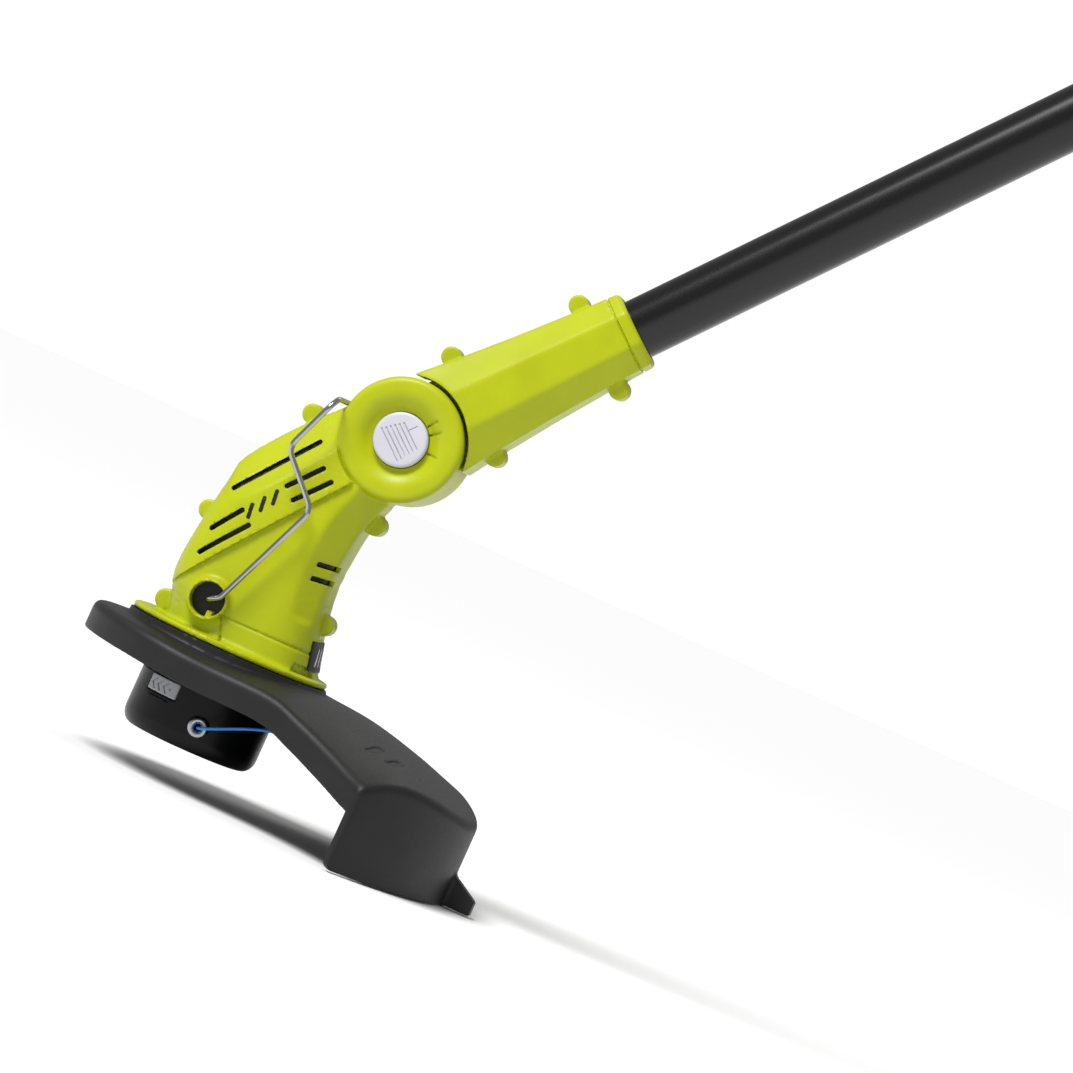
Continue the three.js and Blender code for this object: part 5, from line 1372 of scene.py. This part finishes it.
# %% Lock-off
def lock_field(p):
    x, y, z = p
    start, end = LOCK_SLOT
    body = join(block(p, (start + 5, end + 1), (-8.5, 8.5), (15.5, 18.2), 0.4),
                block(p, (start + 7, end - 1), (-7, 7), (17, 25.5), 1.0), 0.4)
    for k in range(3):
        rib = block(p, (start + 12 + 6 * k, start + 14.5 + 6 * k), (-7, 7), (25, 27.5), 0.8)
        body = join(body, rib, 0.6)
    return body


moulded("thumb_lock", lock_field, "lock_off_button", 0.55,
        (black_plastic, "lock_off_button", "black_plastic"), TO_SHAFT)

# %% [markdown]
# The battery pack closes the rear end. Its case is one more skin from a table, with a parting
# groove, finger ribs, a raised frame round four charge lamps, and a stem with two rails that
# slides into the dock. A lime pad on each side lets go of the dock when it is pressed.
# %% Battery pack
PACK_START, PACK_END = DOCK + 0.3, DOCK + 62
PACK = np.array([
    (PACK_START, 39, 41, -5, 3.6), (PACK_START + 8, 39.5, 42, -5, 3.8),
    (PACK_END - 10, 39.5, 42, -5, 3.8), (PACK_END - 2, 37, 39.5, -5, 3.4),
    (PACK_END, 34, 36, -5, 3.2),
])


def battery(p):
    x, y, z = p
    body = meet(grip(p, 0.0, PACK), np.abs(x - (PACK_START + PACK_END) / 2)
                - (PACK_END - PACK_START) / 2, 1.2)
    body = cut(body, meet(-grip(p, 0.7, PACK), np.abs(x - PACK_START - 36) - 0.5), 0.3)
    for k in range(4):
        groove = meet(-grip(p, 1.0, PACK), np.abs(x - PACK_START - 42 - 3.2 * k) - 0.7)
        body = cut(body, meet(groove, 18 - np.abs(z + 5)), 0.3)
    body = cut(body, block(p, (PACK_END - 0.8, PACK_END + 5), (-17, 17), (-22, 12), 1.5), 0.5)
    for k in range(4):
        lamp = block(p, (PACK_END - 1.8, PACK_END + 5), (-13.5 + 7 * k, -8 + 7 * k), (-2, 1), 0.5)
        body = cut(body, lamp, 0.2)
    stem = block(p, (PACK_START - 46, PACK_START + 2), (-18, 18), (-27, 17), 1.5)
    for k in (-1, 1):
        rail = block(p, (PACK_START - 47, PACK_START - 3), sorted((k * 16, k * 30)), (-8, -2), 0.4)
        stem = cut(stem, rail, 0.4)
    for k in range(3):
        stem = cut(stem, block(p, (PACK_START - 50, PACK_START - 36), (-9.5 + 8 * k, -6.5 + 8 * k),
                               (-40, -18), 0.3), 0.2)
    body = join(body, stem, 0.6)
    for side in (1, -1):
        along = (PACK_START + 12, PACK_START + 32)
        seat = block(p, along, outwards(side, 34.5, FAR), (-17, 7), 0.8)
        body = cut(body, seat, 0.4)
    return body


moulded("battery_pack", battery, "battery", 1.2, (black_plastic, "battery", "black_plastic"),
        TO_SHAFT)


# %% Battery latches
def push_pad(p, side, low, high):
    x, y, z = p
    body = block(p, *zip(low, high), 0.9)
    for k in range(4):
        at = low[0] + 4 + 4 * k
        groove = slit(x, y, (at, side * 41.4), (at, side * 41), 0.8)
        body = cut(body, meet(groove, np.abs(z + 5) - 9), 0.3)
    return body


for side, hand in SIDES:
    latch_box = node_box(f"battery_latch_{hand}", TO_SHAFT)
    moulded(f"battery_pad_{hand}", lambda p: push_pad(p, side, *latch_box),
            f"battery_latch_{hand}", 0.55,
            (lime_plastic, f"battery_latch_{hand}", "lime_plastic"), TO_SHAFT)

# %% [markdown]
# ## Screws
# Every screw is the same: a pan head with a six-sided recess, a shank and a thread. One tree
# makes it from a cylinder, a boolean and a swept spiral, and puts one copy on each point of the
# mesh that it is given. The lengths come from the CAD screws.
# %% The screw's tree
SCREW_HEAD, HEAD_DEPTH, SHANK_RADIUS, THREAD_PITCH, RECESS_RADIUS = 3.15, 2.4, 1.5, 1.2, 1.7


def screw_tree(length):
    t = Tree("screws", HeadRadius=SCREW_HEAD * MM, HeadDepth=HEAD_DEPTH * MM,
             ShankRadius=SHANK_RADIUS * MM, Length=length * MM, Pitch=THREAD_PITCH * MM,
             Recess=RECESS_RADIUS * MM)
    size = t.inputs
    head = t.add("GeometryNodeMeshCylinder", Vertices=40, Radius=size["HeadRadius"],
                 Depth=size["HeadDepth"])[0]
    half = t.add("ShaderNodeMath", {"operation": "MULTIPLY"}, _0=size["HeadDepth"], _1=-0.5)[0]
    head_at = t.add("ShaderNodeMath", {"operation": "ADD"}, _0=size["Length"], _1=half)[0]
    lift = t.add("ShaderNodeCombineXYZ", Z=head_at)[0]
    head = t.add("GeometryNodeTransform", Geometry=head, Translation=lift)[0]
    recess = t.add("GeometryNodeMeshCylinder", Vertices=6, Radius=size["Recess"],
                   Depth=size["HeadDepth"])[0]
    top = t.add("ShaderNodeCombineXYZ", Z=size["Length"])[0]
    recess = t.add("GeometryNodeTransform", Geometry=recess, Translation=top)[0]
    head = t.add("GeometryNodeMeshBoolean", {"operation": "DIFFERENCE", "solver": "EXACT"},
                 _0=head, _1=recess)[0]
    bare = t.add("ShaderNodeMath", {"operation": "SUBTRACT"}, _0=size["Length"],
                 _1=size["HeadDepth"])[0]
    shank = t.add("GeometryNodeMeshCylinder", Vertices=24, Radius=size["ShankRadius"],
                  Depth=bare)[0]
    middle = t.add("ShaderNodeMath", {"operation": "MULTIPLY"}, _0=bare, _1=0.5)[0]
    shank = t.add("GeometryNodeTransform", Geometry=shank,
                  Translation=t.add("ShaderNodeCombineXYZ", Z=middle)[0])[0]
    turns = t.add("ShaderNodeMath", {"operation": "DIVIDE"}, _0=bare, _1=size["Pitch"])[0]
    rise = t.add("ShaderNodeMath", {"operation": "MULTIPLY"}, _0=bare, _1=0.92)[0]
    thread = t.add("GeometryNodeCurveSpiral", Resolution=16, Rotations=turns,
                   Start_Radius=size["ShankRadius"], End_Radius=size["ShankRadius"], Height=rise,
                   Reverse=False)[0]
    ridge = t.add("GeometryNodeCurvePrimitiveCircle", Resolution=5, Radius=0.00025)[0]
    thread = t.add("GeometryNodeCurveToMesh", Curve=thread, Profile_Curve=ridge, Fill_Caps=True)[0]
    thread = t.add("GeometryNodeTransform", Geometry=thread, Translation=(0, 0, 0.0003))[0]
    joined = t.tree.nodes.new("GeometryNodeJoinGeometry")
    for part in (head, shank, thread):
        t.tree.links.new(part, joined.inputs[0])
    placed = t.add("GeometryNodeInstanceOnPoints", Points=t.inputs["Geometry"],
                   Instance=joined.outputs[0])[0]
    return t.finish(placed, turned_steel)


# %% Screws in their places
def screws(name, body, nodes, frame_of, axis):
    """One mesh of screws for the given CAD screws, whose heads point along +axis."""
    turn = Matrix.Rotation(-math.pi / 2, 4, "X") if axis == "Y" else Matrix.Rotation(
        math.pi, 4, "X")
    local = frame_of @ turn
    boxes = [node_box(n, local) for n in nodes]
    length = float(boxes[0][1][2] - boxes[0][0][2])
    points = bpy.data.meshes.new(name)
    points.from_pydata([tuple(np.array([(lo[0] + hi[0]) / 2, (lo[1] + hi[1]) / 2, lo[2]]) * MM)
                        for lo, hi in boxes], [], [])
    made = grown(name, screw_tree(length), points, local)
    dress(made, turned_steel, body, "steel", *nodes)


for name, body, stem, count, frame_of, axis in (
    ("casing_screws", "head", "head_screw", 5, TO_ROW, "Y"),
    ("guard_fixing_screws", "head", "guard_screw", 3, TO_ROW, "Z"),
    ("collar_fixing_screws", "lower_shaft", "collar_screw", 4, TO_SHAFT, "Y"),
    ("handle_fixing_screws", "root", "rear_screw", 3, TO_SHAFT, "Y"),
):
    screws(name, body, [f"{stem}_{k}" for k in range(1, count + 1)], frame_of, axis)

# %% [markdown]
# ## Springs, wound line and fan
# A spring is a spiral curve with a round section, and so is line on a reel. Each takes its radius
# and height from the box of its CAD node. Two springs are pressed when their joint moves; each of
# those two is given a mesh of its own here.
# %% Coils
def coil_tree(turns, radius, wire, height, material):
    t = Tree("coil", Turns=float(turns), Radius=radius * MM, Wire=wire * MM, Height=height * MM)
    curve = t.add("GeometryNodeCurveSpiral", Resolution=24, Rotations=t.inputs["Turns"],
                  Start_Radius=t.inputs["Radius"], End_Radius=t.inputs["Radius"],
                  Height=t.inputs["Height"], Reverse=False)[0]
    section = t.add("GeometryNodeCurvePrimitiveCircle", Resolution=12, Radius=t.inputs["Wire"])[0]
    mesh = t.add("GeometryNodeCurveToMesh", Curve=curve, Profile_Curve=section, Fill_Caps=True)[0]
    return t.finish(mesh, material)


def coil(name, node_name, turns, wire, frame_of, *finish_of):
    low, high = node_box(node_name, frame_of)
    radius = (high[0] - low[0]) / 2 - wire
    height = high[2] - low[2] - 2 * wire
    middle = ((low[0] + high[0]) / 2, (low[1] + high[1]) / 2, low[2] + wire)
    made = grown(name, coil_tree(turns, radius, wire, height, finish_of[0]), None,
                 frame_of @ Matrix.Translation(Vector(middle) * MM))
    return dress(made, *finish_of, node_name)


def shortens(spring):
    """Gives the spring a copy of its mesh, so it has a mesh of its own."""
    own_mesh(spring)


# %% Springs and the wound line
TO_BUTTON = TO_SHAFT @ Matrix.Rotation(-math.pi / 2, 4, "X")
return_spring = coil("return_spring", "button_spring", 4, 0.6, TO_BUTTON, turned_steel, "head",
                     "steel")
finger_spring = coil("finger_spring", "trigger_spring", 4, 0.42, TO_SHAFT, turned_steel, "root",
                     "steel")
coil("bump_spring", "feed_spring", 5, 0.6, TO_ROW, turned_steel, "spool", "steel")
coil("reel_of_line", "wound_line", 9.8, 0.82, TO_ROW, blue_nylon, "spool", "line_blue")
shortens(return_spring)
shortens(finger_spring)


# %% [markdown]
# The fan that cools the motor is one flat blade, set at a slant and put on a ring of points, over a
# thin plate and a hub. Instancing keeps every blade the same, as a mould does.
# %% Fan
BLADES, BLADE_THICKNESS, BLADE_SWEEP, PLATE = 11, 0.0011, 0.62, 0.0012


def fan_tree(radius, height):
    t = Tree("fan", Blades=BLADES, BladeLength=0.014, Height=height * MM, HubRadius=0.012,
             RingRadius=(radius - 7.4) * MM)
    ring = t.add("GeometryNodeMeshCircle", {"fill_type": "NONE"}, Vertices=t.inputs["Blades"],
                 Radius=t.inputs["RingRadius"])[0]
    place = t.add("GeometryNodeInputPosition")[0]
    facing_out = t.add("FunctionNodeAlignRotationToVector", {"axis": "X"}, Vector=place)[0]
    size = t.add("ShaderNodeCombineXYZ", X=t.inputs["BladeLength"], Y=BLADE_THICKNESS,
                 Z=t.inputs["Height"])[0]
    blade = t.add("GeometryNodeMeshCube", Size=size, Vertices_X=6, Vertices_Y=2, Vertices_Z=2)[0]
    swept_by = t.add("FunctionNodeEulerToRotation", Euler=(0, 0, BLADE_SWEEP))[0]
    blade = t.add("GeometryNodeTransform", Geometry=blade, Rotation=swept_by)[0]
    blades = t.add("GeometryNodeInstanceOnPoints", Points=ring, Instance=blade,
                   Rotation=facing_out)[0]
    plate = t.add("GeometryNodeMeshCylinder", Vertices=48, Radius=(radius - 0.6) * MM,
                  Depth=PLATE)[0]
    hub_part = t.add("GeometryNodeMeshCylinder", Vertices=32, Radius=t.inputs["HubRadius"],
                     Depth=t.inputs["Height"])[0]
    low_by = t.add("ShaderNodeMath", {"operation": "MULTIPLY"}, _0=t.inputs["Height"],
                   _1=-0.5)[0]
    plate_at = t.add("ShaderNodeMath", {"operation": "ADD"}, _0=low_by, _1=PLATE / 2)[0]
    plate = t.add("GeometryNodeTransform", Geometry=plate,
                  Translation=t.add("ShaderNodeCombineXYZ", Z=plate_at)[0])[0]
    joined = t.tree.nodes.new("GeometryNodeJoinGeometry")
    for part in (blades, plate, hub_part):
        t.tree.links.new(part, joined.inputs[0])
    return t.finish(joined.outputs[0], black_plastic)


fan_low, fan_high = node_box("cooling_fan")
fan = grown("blower", fan_tree(float(fan_high[0]), float(fan_high[2] - fan_low[2])), None,
            Matrix.Translation((0, 0, (fan_low[2] + fan_high[2]) / 2 * MM)))
dress(fan, black_plastic, "spool", "black_plastic", "cooling_fan")

# %% [markdown]
# ## Badge and printed marks
# The badge is a thin plate bent round the back of the casing. It is the same casing field, taken
# a little larger and a little smaller, cut by a box. The printed marks are plain bars, made as
# thin skins that follow the casing, so they are shapes and not paint on a texture.
# %% Badge
BADGE_LOW, BADGE_HIGH = node_box("rear_badge")


def badge(p):
    skin = cut(casing(p, -0.7), casing(p, 0.3))
    window = block(p, (BADGE_LOW[0] - 2, 60), (-21, 21), (BADGE_LOW[2], BADGE_HIGH[2]), 1)
    return meet(skin, window, 0.3)


moulded("badge_plate", badge, "rear_badge", 0.6, (soft_black, "head", "black_plastic"))


# %% Printed marks
def skin_mark(name, shape, low, high, lift, material, slot):
    """A thin printed mark that follows the casing."""
    def field(p):
        return meet(meet(casing(p, -lift), -casing(p, 0.2)), shape(p))
    return dress(contour(name, field, low, high, 0.32), material, "head", slot)


def badge_bars(p):
    _, y, z = p
    bars = [slit(y, z, (k * 9 - 3, 67.5), (k * 9 + 3, 75), 1.1) for k in (-1, 0, 1)]
    return join(join(bars[0], bars[1]), bars[2])


skin_mark("badge_bars", badge_bars, (42, -15, 65), (50, 15, 78), 0.85, pale_print,
          "pale_grey_plastic")


def rating_bars(p):
    x, y, z = p
    bars = [slit(x, z, (-13.6 + 4.4 * k, 124.3 + 5.8 * k), (-14.4 + 4.4 * k, 130.9 + 5.8 * k), 1.1)
            for k in range(3)]
    return meet(join(join(bars[0], bars[1]), bars[2]), y + 25)


skin_mark("rating_bars", rating_bars, (-24, -42, 115), (0, -33, 146), 0.15, soft_black,
          "black_plastic")

# %% [markdown]
# The pieces deep inside are already right in the CAD: the motor, its mount and shaft, the reel,
# the switch, the pivot's bolt and the cutter. They keep their shape and only take a better finish.
# %% Pieces that keep their CAD shape
for material, names in (
    (turned_steel, ("spindle", "motor_can", "motor_mount", "pivot_bolt", "cutter_blade",
                    "cutter_screw")),
    (motor_copper, ("motor_armature",)),
    (black_plastic, ("spool_reel",)),
    (charcoal_plastic, ("switch_module",)),
):
    for name in names:
        shape = frame["nodes"][name].data
        shape.materials.clear()
        shape.materials.append(material)
print("materials set on the pieces inside")


# %% [markdown]
# ## Floor and light
# A pale floor lies just under the skirt. It is a plain square, wide enough that its far edge is
# lost in the white behind it.
# %% Floor
floor_mesh = bpy.data.meshes.new("floor")
reach, rest_height = 12, cad_box[0].z - 0.001
floor_mesh.from_pydata([(-reach, -reach, rest_height), (reach, -reach, rest_height),
                        (reach, reach, rest_height), (-reach, reach, rest_height)],
                       [], [(0, 1, 2, 3)])
floor = link("floor", floor_mesh)
floor_paint = bpy.data.materials.new("pale_floor")
floor_paint.use_nodes = True
floor_shader = floor_paint.node_tree.nodes["Principled BSDF"]
floor_shader.inputs["Base Color"].default_value = (0.95, 0.95, 0.95, 1)
floor_shader.inputs["Roughness"].default_value = 1.0
floor.data.materials.append(floor_paint)
print("the floor lies at", round(rest_height / MM, 1), "mm")


# %% [markdown]
# The light is that of a catalogue picture: a soft box above and in front draws the large
# surfaces, one behind lifts the upper edges, and a very soft sun from the viewer's side brightens
# the floor. The sky is white where it is looked at and dimmer where it lights, so the ground
# behind the tool stays white without washing the tool out.
# %% Lamps
def softbox(name, place, size, power, target):
    data = bpy.data.lights.new(name, "AREA")
    data.shape, data.size, data.energy = "SQUARE", size, power
    lamp = bpy.data.objects.new(name, data)
    lamp.location = place
    lamp.rotation_mode = "QUATERNION"
    lamp.rotation_quaternion = (Vector(target) - Vector(place)).to_track_quat("-Z", "Y")
    bpy.context.scene.collection.objects.link(lamp)


target = pivot * MM
softbox("key_light", (-1.2, -1.4, 2.4), 1.0, 16, target)
softbox("rim_light", (0.4, 2.0, 2.4), 1.5, 8, target)

sun_data = bpy.data.lights.new("sun", "SUN")
sun_data.energy, sun_data.angle = 2.75, math.radians(25)
sun = bpy.data.objects.new("sun", sun_data)
sun.rotation_mode = "QUATERNION"
sun.rotation_quaternion = Vector((0.45, 0.6, -1.0)).to_track_quat("-Z", "Y")
bpy.context.scene.collection.objects.link(sun)

# %% Sky
SKY_LIGHT = 0.36
sky = bpy.data.worlds.new("sky")
bpy.context.scene.world = sky
sky.use_nodes = True
tree = sky.node_tree
lit_by = tree.nodes["Background"]
lit_by.inputs["Strength"].default_value = SKY_LIGHT
lit_by.inputs["Color"].default_value = (1, 1, 1, 1)
seen = node(tree, "ShaderNodeBackground", Color=(1, 1, 1, 1), Strength=1.0)
ray = node(tree, "ShaderNodeLightPath")
mixed = node(tree, "ShaderNodeMixShader")
tree.links.new(ray.outputs["Is Camera Ray"], mixed.inputs[0])
tree.links.new(lit_by.outputs[0], mixed.inputs[1])
tree.links.new(seen.outputs[0], mixed.inputs[2])
tree.links.new(mixed.outputs[0], tree.nodes["World Output"].inputs["Surface"])
bpy.context.scene.view_settings.view_transform = "Standard"
